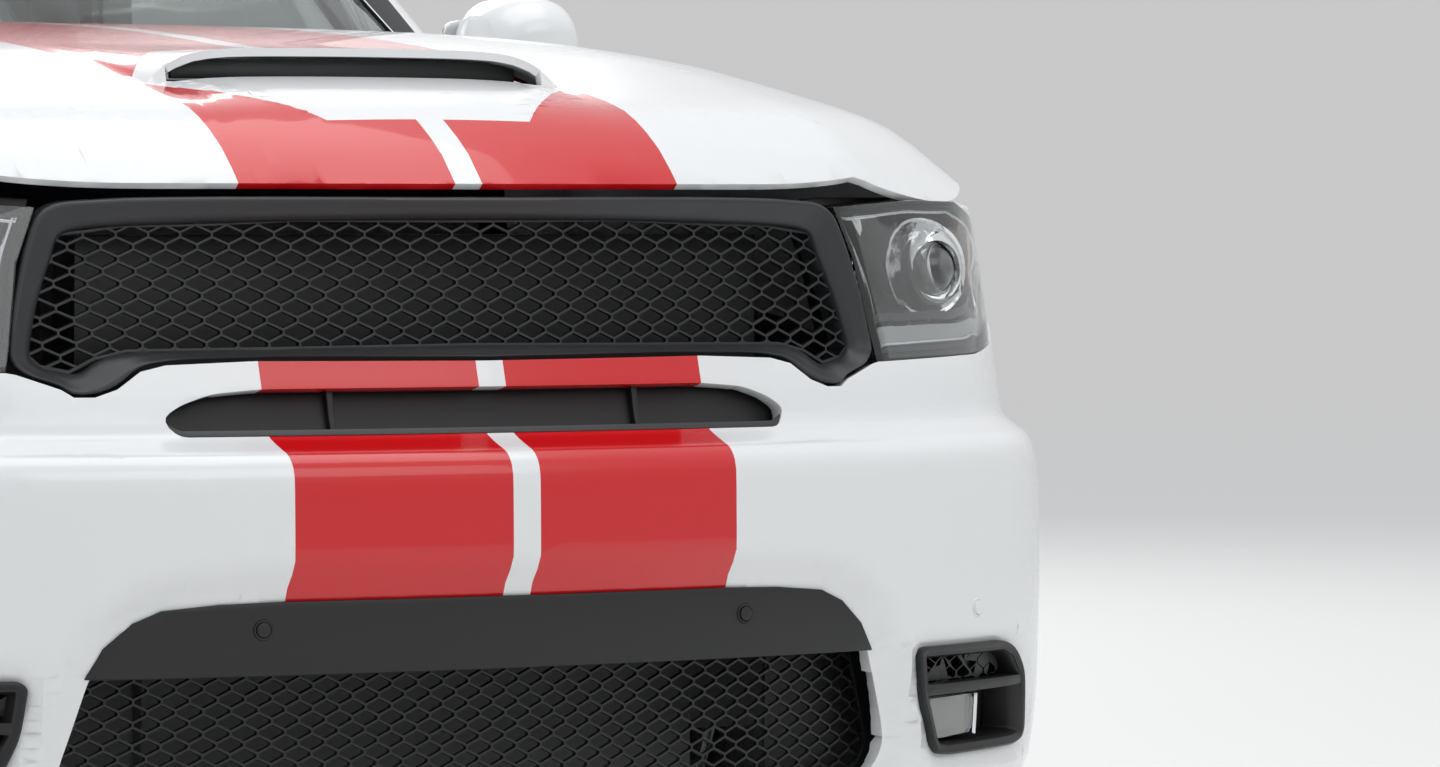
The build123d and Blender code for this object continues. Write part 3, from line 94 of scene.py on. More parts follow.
# ---- Floor and light ----
# A pale floor that fades into the backdrop, an even sky, and three wide soft lamps: above, ahead and behind.
floor_mesh = bmesh.new()
FLOOR_HALF = 150.0
bmesh.ops.create_grid(floor_mesh, x_segments=1, y_segments=1, size=FLOOR_HALF)
floor_data = bpy.data.meshes.new("floor")
floor_mesh.to_mesh(floor_data)
floor_mesh.free()
floor = bpy.data.objects.new("floor", floor_data)
bpy.context.scene.collection.objects.link(floor)
floor_paint = bpy.data.materials.new("floor_paint")
floor_paint.use_nodes = True
floor_nodes, floor_links = floor_paint.node_tree.nodes, floor_paint.node_tree.links
floor_shader = floor_nodes["Principled BSDF"]
floor_shader.inputs["Base Color"].default_value = (0.80, 0.80, 0.79, 1)
floor_shader.inputs["Roughness"].default_value = 0.75
HORIZON = (0.58, 0.58, 0.585, 1)
FADE_NEAR, FADE_FAR = 5.0, 24.0
floor_far = floor_nodes.new("ShaderNodeEmission")
floor_far.inputs["Color"].default_value = HORIZON
floor_place = floor_nodes.new("ShaderNodeTexCoord")
floor_reach = floor_nodes.new("ShaderNodeVectorMath")
floor_reach.operation = "LENGTH"
floor_fade = floor_nodes.new("ShaderNodeMapRange")
floor_fade.interpolation_type = "SMOOTHSTEP"
floor_fade.inputs["From Min"].default_value, floor_fade.inputs["From Max"].default_value = FADE_NEAR, FADE_FAR
floor_links.new(floor_place.outputs["Object"], floor_reach.inputs[0])
floor_links.new(floor_reach.outputs["Value"], floor_fade.inputs["Value"])
floor_mix = floor_nodes.new("ShaderNodeMixShader")
floor_links.new(floor_shader.outputs["BSDF"], floor_mix.inputs[1])
floor_links.new(floor_far.outputs["Emission"], floor_mix.inputs[2])
floor_links.new(floor_mix.outputs["Shader"], floor_nodes["Material Output"].inputs["Surface"])


def seen_directly(nodes, links):
    """Socket that is 1 for what the camera, a reflection or glass shows, and 0 for light on the object."""
    path = nodes.new("ShaderNodeLightPath")
    total = path.outputs["Is Camera Ray"]
    for ray in ("Is Glossy Ray", "Is Transmission Ray"):
        add = nodes.new("ShaderNodeMath")
        add.operation, add.use_clamp = "ADD", True
        links.new(total, add.inputs[0])
        links.new(path.outputs[ray], add.inputs[1])
        total = add.outputs[0]
    return total


floor_seen = floor_nodes.new("ShaderNodeMath")
floor_seen.operation = "MULTIPLY"
floor_links.new(seen_directly(floor_nodes, floor_links), floor_seen.inputs[0])
floor_links.new(floor_fade.outputs["Result"], floor_seen.inputs[1])
floor_links.new(floor_seen.outputs[0], floor_mix.inputs["Fac"])
floor_data.materials.append(floor_paint)

world = bpy.data.worlds.new("sky")
bpy.context.scene.world = world
world.use_nodes = True
sky_nodes, sky_links = world.node_tree.nodes, world.node_tree.links


def sky_ramp(stops):
    """Colour by height above the horizon."""
    place = sky_nodes.new("ShaderNodeTexCoord")
    split = sky_nodes.new("ShaderNodeSeparateXYZ")
    ramp = sky_nodes.new("ShaderNodeValToRGB")
    sky_links.new(place.outputs["Generated"], split.inputs["Vector"])
    sky_links.new(split.outputs["Z"], ramp.inputs["Fac"])
    for stop, (height, colour) in zip(ramp.color_ramp.elements, (stops[0], stops[-1])):
        stop.position, stop.color = height, colour
    for height, colour in stops[1:-1]:
        ramp.color_ramp.elements.new(height).color = colour
    return ramp.outputs["Color"]


sky_light = sky_nodes["Background"]
sky_light.inputs["Strength"].default_value = 0.80
sky_links.new(
    sky_ramp([
        (0.0, (0.50, 0.50, 0.49, 1)), (0.03, (0.30, 0.32, 0.30, 1)), (0.22, (0.44, 0.46, 0.45, 1)),
        (0.6, (0.95, 0.97, 1.0, 1)),
    ]),
    sky_light.inputs["Color"],
)
backdrop = sky_nodes.new("ShaderNodeBackground")
sky_links.new(
    sky_ramp([(0.0, HORIZON), (0.08, HORIZON), (0.5, (0.74, 0.75, 0.76, 1))]), backdrop.inputs["Color"]
)
sky_mix = sky_nodes.new("ShaderNodeMixShader")
sky_links.new(seen_directly(sky_nodes, sky_links), sky_mix.inputs["Fac"])
sky_links.new(sky_light.outputs["Background"], sky_mix.inputs[1])
sky_links.new(backdrop.outputs["Background"], sky_mix.inputs[2])
sky_links.new(sky_mix.outputs["Shader"], sky_nodes["World Output"].inputs["Surface"])
# Rows: name, place, aim, width, depth, power
LAMPS = [
    ("top_light", (2.0, 0.0, 6.5), (0.8, 0.0, 0.8), 7.0, 6.0, 185.0),
    ("front_light", (9.5, 1.5, 4.5), (2.0, 0.0, 0.8), 6.0, 3.0, 66.0),
    ("rear_light", (-7.0, 3.5, 5.0), (-1.5, 0.0, 1.0), 5.0, 3.0, 220.0),
]
for name, place, aim, width, depth, power in LAMPS:
    lamp_data = bpy.data.lights.new(name, "AREA")
    lamp_data.shape, lamp_data.size, lamp_data.size_y, lamp_data.energy = "RECTANGLE", width, depth, power
    lamp = bpy.data.objects.new(name, lamp_data)
    lamp.location = place
    lamp.rotation_euler = (Vector(aim) - Vector(place)).to_track_quat("-Z", "Y").to_euler()
    bpy.context.scene.collection.objects.link(lamp)
bpy.context.scene.view_settings.view_transform = "Standard"


# ---- Painted body: surfaces ----
# The steel panels follow level sections: a bowed front or tail, a corner arc and a side that is straight
# along the length. Each row has a height with its nose setback, tail setback and half width.
NOSE, TAIL = 2555.0, -2555.0
BODY_ROWS = [
    (240, 70, 90, 902), (330, 60, 50, 940), (450, 60, 30, 944), (600, 60, 30, 946), (715, 66, 50, 946),
    (803, 88, 70, 945), (900, 108, 85, 942), (1006, 130, 105, 932), (1130, 175, 150, 902),
]
BUMPER_ROWS = [
    (246, 43, 75, 926), (270, 26, 52, 946), (297, 14, 35, 955), (350, 7, 20, 960), (398, 4, 12, 962),
    (460, 2, 4, 962), (523, 0, 0, 962), (580, 0, 0, 961), (640, 1, 0, 958), (672, 2, 0, 953),
    (685, 5, 2, 950),
    (700, 16, 14, 948), (711, 42, 34, 947), (721, 62, 50, 946), (735, 71, 56, 946), (771, 79, 64, 945),
    (803, 88, 70, 945), (900, 108, 85, 942), (1006, 130, 105, 932),
]
FRONT_FORM = (2800.0, 430.0, 302.0, math.radians(27.0))


def row_slopes(rows):
    """Slopes at each row that keep a smooth curve through the rows from overshooting."""
    slopes = []
    for i in range(len(rows)):
        line = []
        for k in range(1, len(rows[0])):
            before = (rows[i][k] - rows[i - 1][k]) / (rows[i][0] - rows[i - 1][0]) if i else None
            after = (
                (rows[i + 1][k] - rows[i][k]) / (rows[i + 1][0] - rows[i][0])
                if i + 1 < len(rows) else None
            )
            if before is None or after is None:
                line.append(after if before is None else before)
            elif before * after <= 0:
                line.append(0.0)
            else:
                line.append(2 * before * after / (before + after))
        slopes.append(line)
    return slopes


SLOPES = {id(rows): row_slopes(rows) for rows in (BODY_ROWS, BUMPER_ROWS)}


def section_at(rows, height):
    """Nose setback, tail setback and half width at a height, by smooth curves through the rows."""
    place = min(max(bisect_right(rows, (height,)) - 1, 0), len(rows) - 2)
    low, high = rows[place], rows[place + 1]
    low_slopes, high_slopes = SLOPES[id(rows)][place], SLOPES[id(rows)][place + 1]
    span = high[0] - low[0]
    t = min(max((height - low[0]) / span, 0.0), 1.0)
    values = []
    for k in range(1, len(low)):
        values.append(
            low[k] * (1 + 2 * t) * (1 - t) ** 2 + high[k] * t * t * (3 - 2 * t)
            + span * (low_slopes[k - 1] * t * (1 - t) ** 2 - high_slopes[k - 1] * t * t * (1 - t))
        )
    return values


def front_lengths(half):
    """Blend radius and the lengths of bow, blend and corner along a front section of that half width."""
    bow, bow_half, corner, corner_turn = FRONT_FORM
    bow_turn = math.asin(bow_half / bow)
    blend = (
        half - corner * (1 - math.sin(corner_turn)) - bow_half
    ) / (math.sin(corner_turn) - bow_half / bow)
    return (
        bow_turn, blend, bow * bow_turn, blend * (corner_turn - bow_turn),
        corner * (math.pi / 2 - corner_turn),
    )


def front_place(along, half):
    """Setback, distance from the middle and turn of the outline at a length along it from the middle."""
    bow, bow_half, corner, corner_turn = FRONT_FORM
    bow_turn, blend, bow_length, blend_length, corner_length = front_lengths(half)
    s = abs(along)
    if s <= bow_length:
        angle = s / bow
        back, out = bow * (1 - math.cos(angle)), bow * math.sin(angle)
    elif s <= bow_length + blend_length:
        angle = bow_turn + (s - bow_length) / blend
        back = bow * (1 - math.cos(bow_turn)) + blend * (math.cos(bow_turn) - math.cos(angle))
        out = bow_half + blend * (math.sin(angle) - math.sin(bow_turn))
    else:
        rest = s - bow_length - blend_length
        angle = min(corner_turn + rest / corner, math.pi / 2)
        back = bow * (1 - math.cos(bow_turn)) + blend * (math.cos(bow_turn) - math.cos(corner_turn))
        back += corner * (math.cos(corner_turn) - math.cos(angle))
        out = half - corner * (1 - math.sin(angle))
        back += max(rest - corner_length, 0.0)
    return back, math.copysign(out, along), angle


def front_skin(rows, along, height, inset=0.0):
    """Point of the front's surface, moved inwards by inset, in millimetres."""
    nose, tail, half = section_at(rows, height)
    back, out, angle = front_place(along, half)
    side = 1 if along >= 0 else -1
    return Vector(
        (NOSE - nose - back - inset * math.cos(angle), out - side * inset * math.sin(angle), height)
    )


def along_front(rows, y, height):
    """Length along the front section to a point that is y from the middle."""
    nose, tail, half = section_at(rows, height)
    bow, bow_half, corner, corner_turn = FRONT_FORM
    bow_turn, blend, bow_length, blend_length, corner_length = front_lengths(half)
    out = abs(y)
    if out <= bow_half:
        length = bow * math.asin(out / bow)
    elif out <= half - corner * (1 - math.sin(corner_turn)):
        length = bow_length + blend * (math.asin(math.sin(bow_turn) + (out - bow_half) / blend) - bow_turn)
    else:
        sine = min(1 - (half - out) / corner, 1.0)
        length = bow_length + blend_length + corner * (math.asin(sine) - corner_turn)
    return math.copysign(length, y)


def along_side(rows, x, height):
    """Length along the front section to a point of its straight side at that x."""
    nose, tail, half = section_at(rows, height)
    lengths = front_lengths(half)
    side_start = sum(lengths[2:])
    back, out, angle = front_place(side_start, half)
    if NOSE - nose - back < x:
        low, high = 0.0, side_start
        for step in range(30):
            middle = (low + high) / 2
            back, out, angle = front_place(middle, half)
            low, high = (middle, high) if NOSE - nose - back > x else (low, middle)
        return low
    return side_start + NOSE - nose - back - x


def new_object(name, shape, material, body):
    """Makes a bmesh a piece that rides on a body."""
    data = bpy.data.meshes.new(name)
    shape.to_mesh(data)
    shape.free()
    piece = bpy.data.objects.new(name, data)
    bpy.context.scene.collection.objects.link(piece)
    data.materials.append(material)
    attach(piece, body)
    return piece


def finished(piece, crease=35.0):
    """Puts a piece's modifiers into its mesh and shades it smooth up to a crease angle."""
    evaluated = piece.evaluated_get(bpy.context.evaluated_depsgraph_get())
    data = bpy.data.meshes.new_from_object(evaluated)
    piece.modifiers.clear()
    piece.data = data
    for face in data.polygons:
        face.use_smooth = True
    data.set_sharp_from_angle(angle=math.radians(crease))
    return piece


def softened(points, step, closed=True):
    """Smooth curve through points, with a point about every step."""
    count = len(points)
    result = []
    for i in range(count if closed else count - 1):
        if closed:
            p0, p1, p2, p3 = (Vector(points[(i + k) % count]) for k in (-1, 0, 1, 2))
        else:
            p0, p1 = Vector(points[max(i - 1, 0)]), Vector(points[i])
            p2, p3 = Vector(points[i + 1]), Vector(points[min(i + 2, count - 1)])
        d0, d1, d2 = ((b - a).length ** 0.5 or 1e-6 for a, b in ((p0, p1), (p1, p2), (p2, p3)))
        m1 = (p1 - p0) / d0 - (p2 - p0) / (d0 + d1) + (p2 - p1) / d1
        m2 = (p2 - p1) / d1 - (p3 - p1) / (d1 + d2) + (p3 - p2) / d2
        pieces = max(1, round((p2 - p1).length / step))
        for j in range(pieces):
            t = j / pieces
            result.append(
                p1 * (2 * t**3 - 3 * t**2 + 1) + m1 * d1 * (t**3 - 2 * t**2 + t)
                + p2 * (3 * t**2 - 2 * t**3) + m2 * d1 * (t**3 - t**2)
            )
    if not closed:
        result.append(Vector(points[-1]))
    return result


def divided(points, step):
    """Closed outline with straight sides, divided about every step."""
    result = []
    for first, second in zip(points, points[1:] + points[:1]):
        first, second = Vector(first), Vector(second)
        pieces = max(1, round((second - first).length / step))
        result += [first.lerp(second, j / pieces) for j in range(pieces)]
    return result


def rounded(points, radius, step):
    """Closed outline whose corners are rounded by a radius."""
    result = []
    count = len(points)
    for i in range(count):
        before, corner, after = Vector(points[i - 1]), Vector(points[i]), Vector(points[(i + 1) % count])
        room = min(radius, (before - corner).length * 0.45, (after - corner).length * 0.45)
        start = corner + (before - corner).normalized() * room
        end = corner + (after - corner).normalized() * room
        pieces = max(2, round((end - start).length / step))
        for j in range(pieces + 1):
            t = j / pieces
            result.append(start * (1 - t) ** 2 + corner * 2 * t * (1 - t) + end * t * t)
    return divided([tuple(p) for p in result], step)


def flat_panel(loops, columns, lines):
    """Flat face between outlines, cut along columns and lines into a regular net, as a bmesh."""
    shape = bmesh.new()
    edges = []
    for loop in loops:
        corners = [shape.verts.new((p[0], p[1], 0.0)) for p in loop]
        edges += [shape.edges.new((a, b)) for a, b in zip(corners, corners[1:] + corners[:1])]
    bmesh.ops.triangle_fill(shape, use_beauty=True, use_dissolve=False, edges=edges, normal=(0, 0, 1))
    for places, direction in ((columns, Vector((1, 0, 0))), (lines, Vector((0, 1, 0)))):
        for place in places:
            everything = shape.verts[:] + shape.edges[:] + shape.faces[:]
            bmesh.ops.bisect_plane(
                shape, geom=everything, dist=1e-4, plane_co=direction * place, plane_no=direction
            )
    column_set, line_set = sorted(columns), sorted(lines)

    def on_net(edge):
        for axis, places in ((0, column_set), (1, line_set)):
            first, second = edge.verts[0].co[axis], edge.verts[1].co[axis]
            if abs(first - second) < 1e-3:
                near = bisect_right(places, first)
                if any(abs(places[k] - first) < 1e-2 for k in (near - 1, near) if 0 <= k < len(places)):
                    return True
        return False

    inner = [edge for edge in shape.edges if len(edge.link_faces) == 2 and not on_net(edge)]
    bmesh.ops.dissolve_edges(shape, edges=inner, use_verts=False, use_face_split=False)
    for face in shape.faces:
        if face.normal.z < 0:
            face.normal_flip()
    return shape


def spaced(start, end, step, *extra):
    """Places from start to end about every step, and any extra places."""
    count = max(1, round((end - start) / step))
    places = [start + (end - start) * i / count for i in range(count + 1)] + list(extra)
    places.sort()
    return [p for i, p in enumerate(places) if not i or p - places[i - 1] > 0.8]


def mapped(shape, surface):
    """Moves each vertex of a flat net in millimetres to its place on a surface, in metres."""
    for corner in shape.verts:
        corner.co = surface(corner.co.x, corner.co.y) * MM
    shape.normal_update()
    return shape


def walled(piece, thickness, edge=0.0012, segments=2):
    """Gives an open panel its wall and rounds the panel's edges."""
    wall = piece.modifiers.new("wall", "SOLIDIFY")
    wall.thickness, wall.offset = thickness, -1.0
    if edge:
        round_edges = piece.modifiers.new("edges", "BEVEL")
        round_edges.width, round_edges.segments, round_edges.limit_method = edge, segments, "ANGLE"
        round_edges.angle_limit = math.radians(55)
    return finished(piece)


# ---- Painted body: paint ----
# Bright white enamel under clear coat, with two red stripes over the hood and down the bumper. The white
# surround of the hood scoop and the seams between panels interrupt them.
def shader_nodes(material):
    material.use_nodes = True
    return material.node_tree.nodes, material.node_tree.links


def math_node(tree, operation, first, second=0.0):
    """Math node in a tree, fed by sockets or constants."""
    node = tree.nodes.new("ShaderNodeMath")
    node.operation = operation
    for socket, value in zip(node.inputs, (first, second)):
        if isinstance(value, (int, float)):
            socket.default_value = value
        else:
            tree.links.new(value, socket)
    return node.outputs[0]


def finish_group():
    """Surface variation that all finishes share: a clouded tint, a roughness spread and a grain height."""
    group = bpy.data.node_groups.new("surface_variation", "ShaderNodeTree")
    for name, default in (("Scale", 40.0), ("Spread", 0.05), ("Roughness", 0.4), ("Grain", 800.0)):
        socket = group.interface.new_socket(name, in_out="INPUT", socket_type="NodeSocketFloat")
        socket.default_value = default
    for name in ("Shade", "Roughness", "Height"):
        group.interface.new_socket(name, in_out="OUTPUT", socket_type="NodeSocketFloat")
    start, end = group.nodes.new("NodeGroupInput"), group.nodes.new("NodeGroupOutput")
    coordinates = group.nodes.new("ShaderNodeTexCoord")
    clouds, grain = (group.nodes.new("ShaderNodeTexNoise") for i in range(2))
    group.links.new(coordinates.outputs["Object"], clouds.inputs["Vector"])
    group.links.new(coordinates.outputs["Object"], grain.inputs["Vector"])
    group.links.new(start.outputs["Scale"], clouds.inputs["Scale"])
    group.links.new(start.outputs["Grain"], grain.inputs["Scale"])
    clouds.inputs["Detail"].default_value = 6.0
    grain.inputs["Detail"].default_value = 3.0
    centred = math_node(group, "SUBTRACT", clouds.outputs["Fac"], 0.5)
    amount = math_node(group, "MULTIPLY", centred, start.outputs["Spread"])
    group.links.new(math_node(group, "ADD", amount, 1.0), end.inputs["Shade"])
    group.links.new(math_node(group, "ADD", amount, start.outputs["Roughness"]), end.inputs["Roughness"])
    group.links.new(grain.outputs["Fac"], end.inputs["Height"])
    return group


VARIATION = finish_group()


def finish(name, colour, roughness, metallic=0.0, coat=0.0, grain=800.0, bump=0.0, spread=0.06, scale=30.0):
    """Material with a clouded tint, a varied roughness and a grain bump."""
    material = bpy.data.materials.new(name)
    nodes, links = shader_nodes(material)
    shader = nodes["Principled BSDF"]
    variation = nodes.new("ShaderNodeGroup")
    variation.node_tree = VARIATION
    for socket, value in (("Scale", scale), ("Spread", spread), ("Roughness", roughness), ("Grain", grain)):
        variation.inputs[socket].default_value = value
    tint = nodes.new("ShaderNodeMix")
    tint.data_type, tint.blend_type = "RGBA", "MULTIPLY"
    tint.inputs[0].default_value = 1.0
    tint.inputs[6].default_value = (*colour, 1)
    links.new(variation.outputs["Shade"], tint.inputs[7])
    links.new(tint.outputs[2], shader.inputs["Base Color"])
    links.new(variation.outputs["Roughness"], shader.inputs["Roughness"])
    shader.inputs["Metallic"].default_value = metallic
    shader.inputs["Coat Weight"].default_value = coat
    shader.inputs["Coat Roughness"].default_value = 0.03
    if bump:
        relief = nodes.new("ShaderNodeBump")
        relief.inputs["Strength"].default_value = bump
        relief.inputs["Distance"].default_value = 0.0004
        links.new(variation.outputs["Height"], relief.inputs["Height"])
        links.new(relief.outputs["Normal"], shader.inputs["Normal"])
    return material


WHITE, RED = (0.86, 0.87, 0.88), (0.66, 0.002, 0.006)
STRIPE_OUTER, STRIPE_INNER = 0.3015, 0.0185
white_paint = finish("white_paint", WHITE, 0.28, coat=1.0, spread=0.02, scale=3.0, grain=2500.0, bump=0.02)
striped_paint = finish(
    "striped_paint", WHITE, 0.25, coat=0.7, spread=0.02, scale=3.0, grain=2500.0, bump=0.02
)
stripe_tree = striped_paint.node_tree
stripe_coordinates = stripe_tree.nodes.new("ShaderNodeTexCoord")
stripe_split = stripe_tree.nodes.new("ShaderNodeSeparateXYZ")
stripe_tree.links.new(stripe_coordinates.outputs["Object"], stripe_split.inputs["Vector"])
x_along, z_up = stripe_split.outputs["X"], stripe_split.outputs["Z"]
from_middle = math_node(stripe_tree, "ABSOLUTE", stripe_split.outputs["Y"])
in_stripe = math_node(
    stripe_tree, "MULTIPLY",
    math_node(stripe_tree, "LESS_THAN", from_middle, STRIPE_OUTER),
    math_node(stripe_tree, "GREATER_THAN", from_middle, STRIPE_INNER),
)
# White surround of the scoop: front and rear limits, and half widths that grow to the mouth's corners.
SCOOP_FRONT, SCOOP_REAR, SCOOP_HALF, SCOOP_WIDE_X = 2.327, 2.022, 0.140, 2.150
front_width = math_node(
    stripe_tree, "ADD", SCOOP_HALF, math_node(
        stripe_tree, "MULTIPLY", math_node(stripe_tree, "SUBTRACT", SCOOP_FRONT, x_along), 0.90
    )
)
rear_width = math_node(
    stripe_tree, "ADD", 0.315, math_node(
        stripe_tree, "MULTIPLY", math_node(stripe_tree, "SUBTRACT", x_along, SCOOP_WIDE_X), 0.85
    )
)
surround_half = math_node(stripe_tree, "MINIMUM", front_width, rear_width)
in_surround = math_node(
    stripe_tree, "MULTIPLY",
    math_node(stripe_tree, "LESS_THAN", from_middle, surround_half),
    math_node(
        stripe_tree, "MULTIPLY",
        math_node(stripe_tree, "LESS_THAN", x_along, SCOOP_FRONT),
        math_node(stripe_tree, "GREATER_THAN", x_along, SCOOP_REAR),
    ),
)
stripe_mask = math_node(
    stripe_tree, "MULTIPLY", in_stripe,
    math_node(stripe_tree, "SUBTRACT", 1.0, in_surround),
)
stripe_mask = math_node(
    stripe_tree, "MULTIPLY", stripe_mask, math_node(stripe_tree, "GREATER_THAN", z_up, 0.5325)
)
stripe_mix = stripe_tree.nodes.new("ShaderNodeMix")
stripe_mix.data_type = "RGBA"
stripe_mix.inputs[6].default_value = (*WHITE, 1)
stripe_mix.inputs[7].default_value = (*RED, 1)
stripe_tree.links.new(stripe_mask, stripe_mix.inputs[0])
stripe_tint = next(node for node in stripe_tree.nodes if node.type == "MIX" and node.blend_type == "MULTIPLY")
stripe_tree.links.new(stripe_mix.outputs[2], stripe_tint.inputs[6])

# ---- Front bumper ----
# One moulded fascia over bumper and grille edge, in body colour. It dips towards the intake and the fog
# lamps, and holds two parking sensors in body colour at its corners.
GRILLE_LOW = [
    (0, 805), (306, 807), (415, 803), (446, 796), (476, 776), (503, 767), (527, 767), (541, 776), (589, 793),
    (600, 795), (808, 800), (877, 813), (917, 848),
]
SLOT = [(0, 775), (300, 775), (365, 770), (404, 757), (427, 742), (412, 721), (0, 721)]
INTAKE = [
    (0, 533), (300, 533), (381, 531), (452, 525), (486, 511), (519, 483), (539, 450), (571, 351), (573, 330),
    (560, 306), (530, 292), (0, 290),
]
FOG = [
    (614, 440), (622, 446), (788, 446), (815, 435), (838, 408), (847, 334), (842, 324), (819, 319),
    (674, 316), (655, 319), (647, 328), (622, 385),
]
DIP_DEPTH, DIP_WIDTH = 24.0, 50.0
FOG_DIP_DEPTH, FOG_DIP_WIDTH = 11.0, 24.0


def both_sides(half_outline):
    """Whole closed outline from its right-hand half, which starts and ends on the middle."""
    return [tuple(p) for p in half_outline] + [(-p[0], p[1]) for p in half_outline[-2:0:-1]]


def outline_distance(y, z, outline):
    """Shortest distance to a closed outline."""
    best = 1e9
    for (y0, z0), (y1, z1) in zip(outline, outline[1:] + outline[:1]):
        dy, dz = y1 - y0, z1 - z0
        t = min(max(((y - y0) * dy + (z - z0) * dz) / (dy * dy + dz * dz or 1e-9), 0.0), 1.0)
        best = min(best, math.hypot(y - y0 - t * dy, z - z0 - t * dz))
    return best


def bumper_skin(along, height, inset=0.0):
    """The fascia's surface with its dips round the intake and the fog lamps."""
    place = front_skin(BUMPER_ROWS, along, height, inset)
    out = abs(place.y)
    if height < 600:
        for outline, depth, width in ((INTAKE, DIP_DEPTH, DIP_WIDTH), (FOG, FOG_DIP_DEPTH, FOG_DIP_WIDTH)):
            away = outline_distance(out, height, outline)
            if away < width:
                share = 1 - away / width
                inset += depth * share * share * (3 - 2 * share)
        place = front_skin(BUMPER_ROWS, along, height, inset)
    return place


def to_front(outline, rows):
    """Outline of distances from the middle and heights, as lengths along the section and heights."""
    return [(along_front(rows, y, z), z) for y, z in outline]


arch_run = [
    (
        1625 + 432 * math.cos(math.radians(a)), 386 + 432 * math.sin(math.radians(a))
    ) for a in range(44, -19, -3)
]
side_run = [(along_side(BUMPER_ROWS, x, z), z) for x, z in [(2146, 801), (1925, 694)] + arch_run if z > 246]
upper_run = to_front(GRILLE_LOW, BUMPER_ROWS)
bottom = [(along_front(BUMPER_ROWS, 560, 246), 246), (0, 246)]
lowest_x = 1625 + math.sqrt(432**2 - 140**2)
outline = both_sides(upper_run + side_run + [(along_side(BUMPER_ROWS, lowest_x, 246), 246)] + bottom)
holes = [
    to_front(rounded(both_sides(SLOT), 16, 6), BUMPER_ROWS),
    to_front(rounded(both_sides(INTAKE), 30, 8), BUMPER_ROWS),
]
for side in (1, -1):
    holes.append(to_front([(side * y, z) for y, z in rounded(FOG, 16, 5)], BUMPER_ROWS))
loops = [divided(outline, 14)] + holes
columns = spaced(-1900, 1900, 24)
lines = spaced(246, 850, 16, 519, 525, 529, 686, 691, 695, 699, 703, 707, 711, 715, 719, 724, 729)
front_bumper = new_object(
    "front_bumper_skin", mapped(flat_panel(loops, columns, lines), bumper_skin), striped_paint, "body",
)
walled(front_bumper, 0.018, 0.003, 3)
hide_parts("front_bumper")


# ---- Hood ----
# Steel panel over the engine, hinged at its rear edge. Its scoop rises behind a ramp between the stripes and
# ends in a wide mouth that faces forward.
HOOD_RISE = [
    (-120, -95), (0, 0), (40, 42), (103, 84), (131, 96), (261, 124), (530, 168), (900, 198), (1200, 208),
    (1420, 210),
]
HOOD_EDGE, HOOD_SETBACK, HOOD_SIDE, HOOD_REAR, HOOD_REAR_BOW = 1006.0, 130.0, 921.0, 1205.0, 3400.0
MOUTH_X, MOUTH_RISE, LIP_RISE, LID_LENGTH, LID_HALF = 2154.0, 41.0, 7.0, 330.0, 286.0
SLOPES[id(HOOD_RISE)] = row_slopes(HOOD_RISE)


def eased(share):
    share = min(max(share, 0.0), 1.0)
    return share * share * (3 - 2 * share)


def shut_height(x):
    return 985.0 + 0.12 * (NOSE - 400 - x)


def hood_height(x, y):
    """Top of the hood: it rises behind the front edge and rolls down to the fenders."""
    out = abs(y)
    share = min(out / HOOD_SIDE, 1.0)
    setback = HOOD_SETBACK + 2800.0 - math.sqrt(2800.0**2 - min(out, 600) ** 2) + max(out - 600, 0) * 0.62
    behind = NOSE - setback - x
    crown = HOOD_EDGE + section_at(HOOD_RISE, behind)[0] - 10 * share**2 * min(max(behind, 0) / 400, 1)
    roll = share**14
    return crown * (1 - roll) + (shut_height(x) + 8) * roll


def hood_surface(x, y):
    """The hood with the ramp before the scoop's mouth and the lid behind it."""
    out = abs(y)
    height = hood_height(x, y)
    across = max(0.0, 1 - (out / LID_HALF) ** 8)
    if x < MOUTH_X:
        along = max(0.0, 1 - (MOUTH_X - x) / LID_LENGTH) ** 2
        height += MOUTH_RISE * along * across
    else:
        ramp = eased(1 - (x - MOUTH_X) / 190.0)
        height += LIP_RISE * ramp * max(0.0, 1 - (out / 262.0) ** 6)
        edge = 138 + (2327 - x) * 0.72
        if 0 < edge < 300 and x < 2330:
            height += 2.5 * math.exp(-((out - edge) / 7.0) ** 2) * eased((2330 - x) / 20)
    return Vector((x, y, height))


def hood_front(half, steps, cut=6.0):
    """Front edge of the hood from the middle to its side, in plan."""
    points = []
    lengths = front_lengths(half)
    total = sum(lengths[2:])
    for i in range(steps + 1):
        back, out, angle = front_place(total * i / steps, half)
        points.append((NOSE - HOOD_SETBACK - cut - back, out))
    return points


front_edge = hood_front(HOOD_SIDE, 48)
rear_edge = [
    (
        HOOD_REAR - HOOD_REAR_BOW + math.sqrt(HOOD_REAR_BOW**2 - y * y), y
    ) for y in (HOOD_SIDE * i / 30 for i in range(31))
]
hood_outline = front_edge + rear_edge[::-1]
hood_outline = [p for p in hood_outline if p[1] > 0.5]
hood_loop = [(front_edge[0][0], 0.0)] + hood_outline + [(rear_edge[0][0], 0.0)]
hood_loop = [(x, y) for x, y in hood_loop] + [(x, -y) for x, y in hood_outline[::-1]]
mouth = [(MOUTH_X + 2.0, y) for y in spaced(-262, 262, 12)] + [
    (MOUTH_X - 2.0, y) for y in spaced(-262, 262, 12)[::-1]
]
hood_net = flat_panel(
    [divided(hood_loop, 26), mouth],
    spaced(1080, 2440, 26, 2130, 2142, 2148, 2151, 2157, 2160, 2166, 2327, 2333),
    spaced(-925, 925, 28, -286, -276, 276, 286),
)
hood_panel = new_object("hood_panel", mapped(hood_net, hood_surface), striped_paint, "hood")
walled(hood_panel, 0.010, 0.0035, 4)
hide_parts("hood")


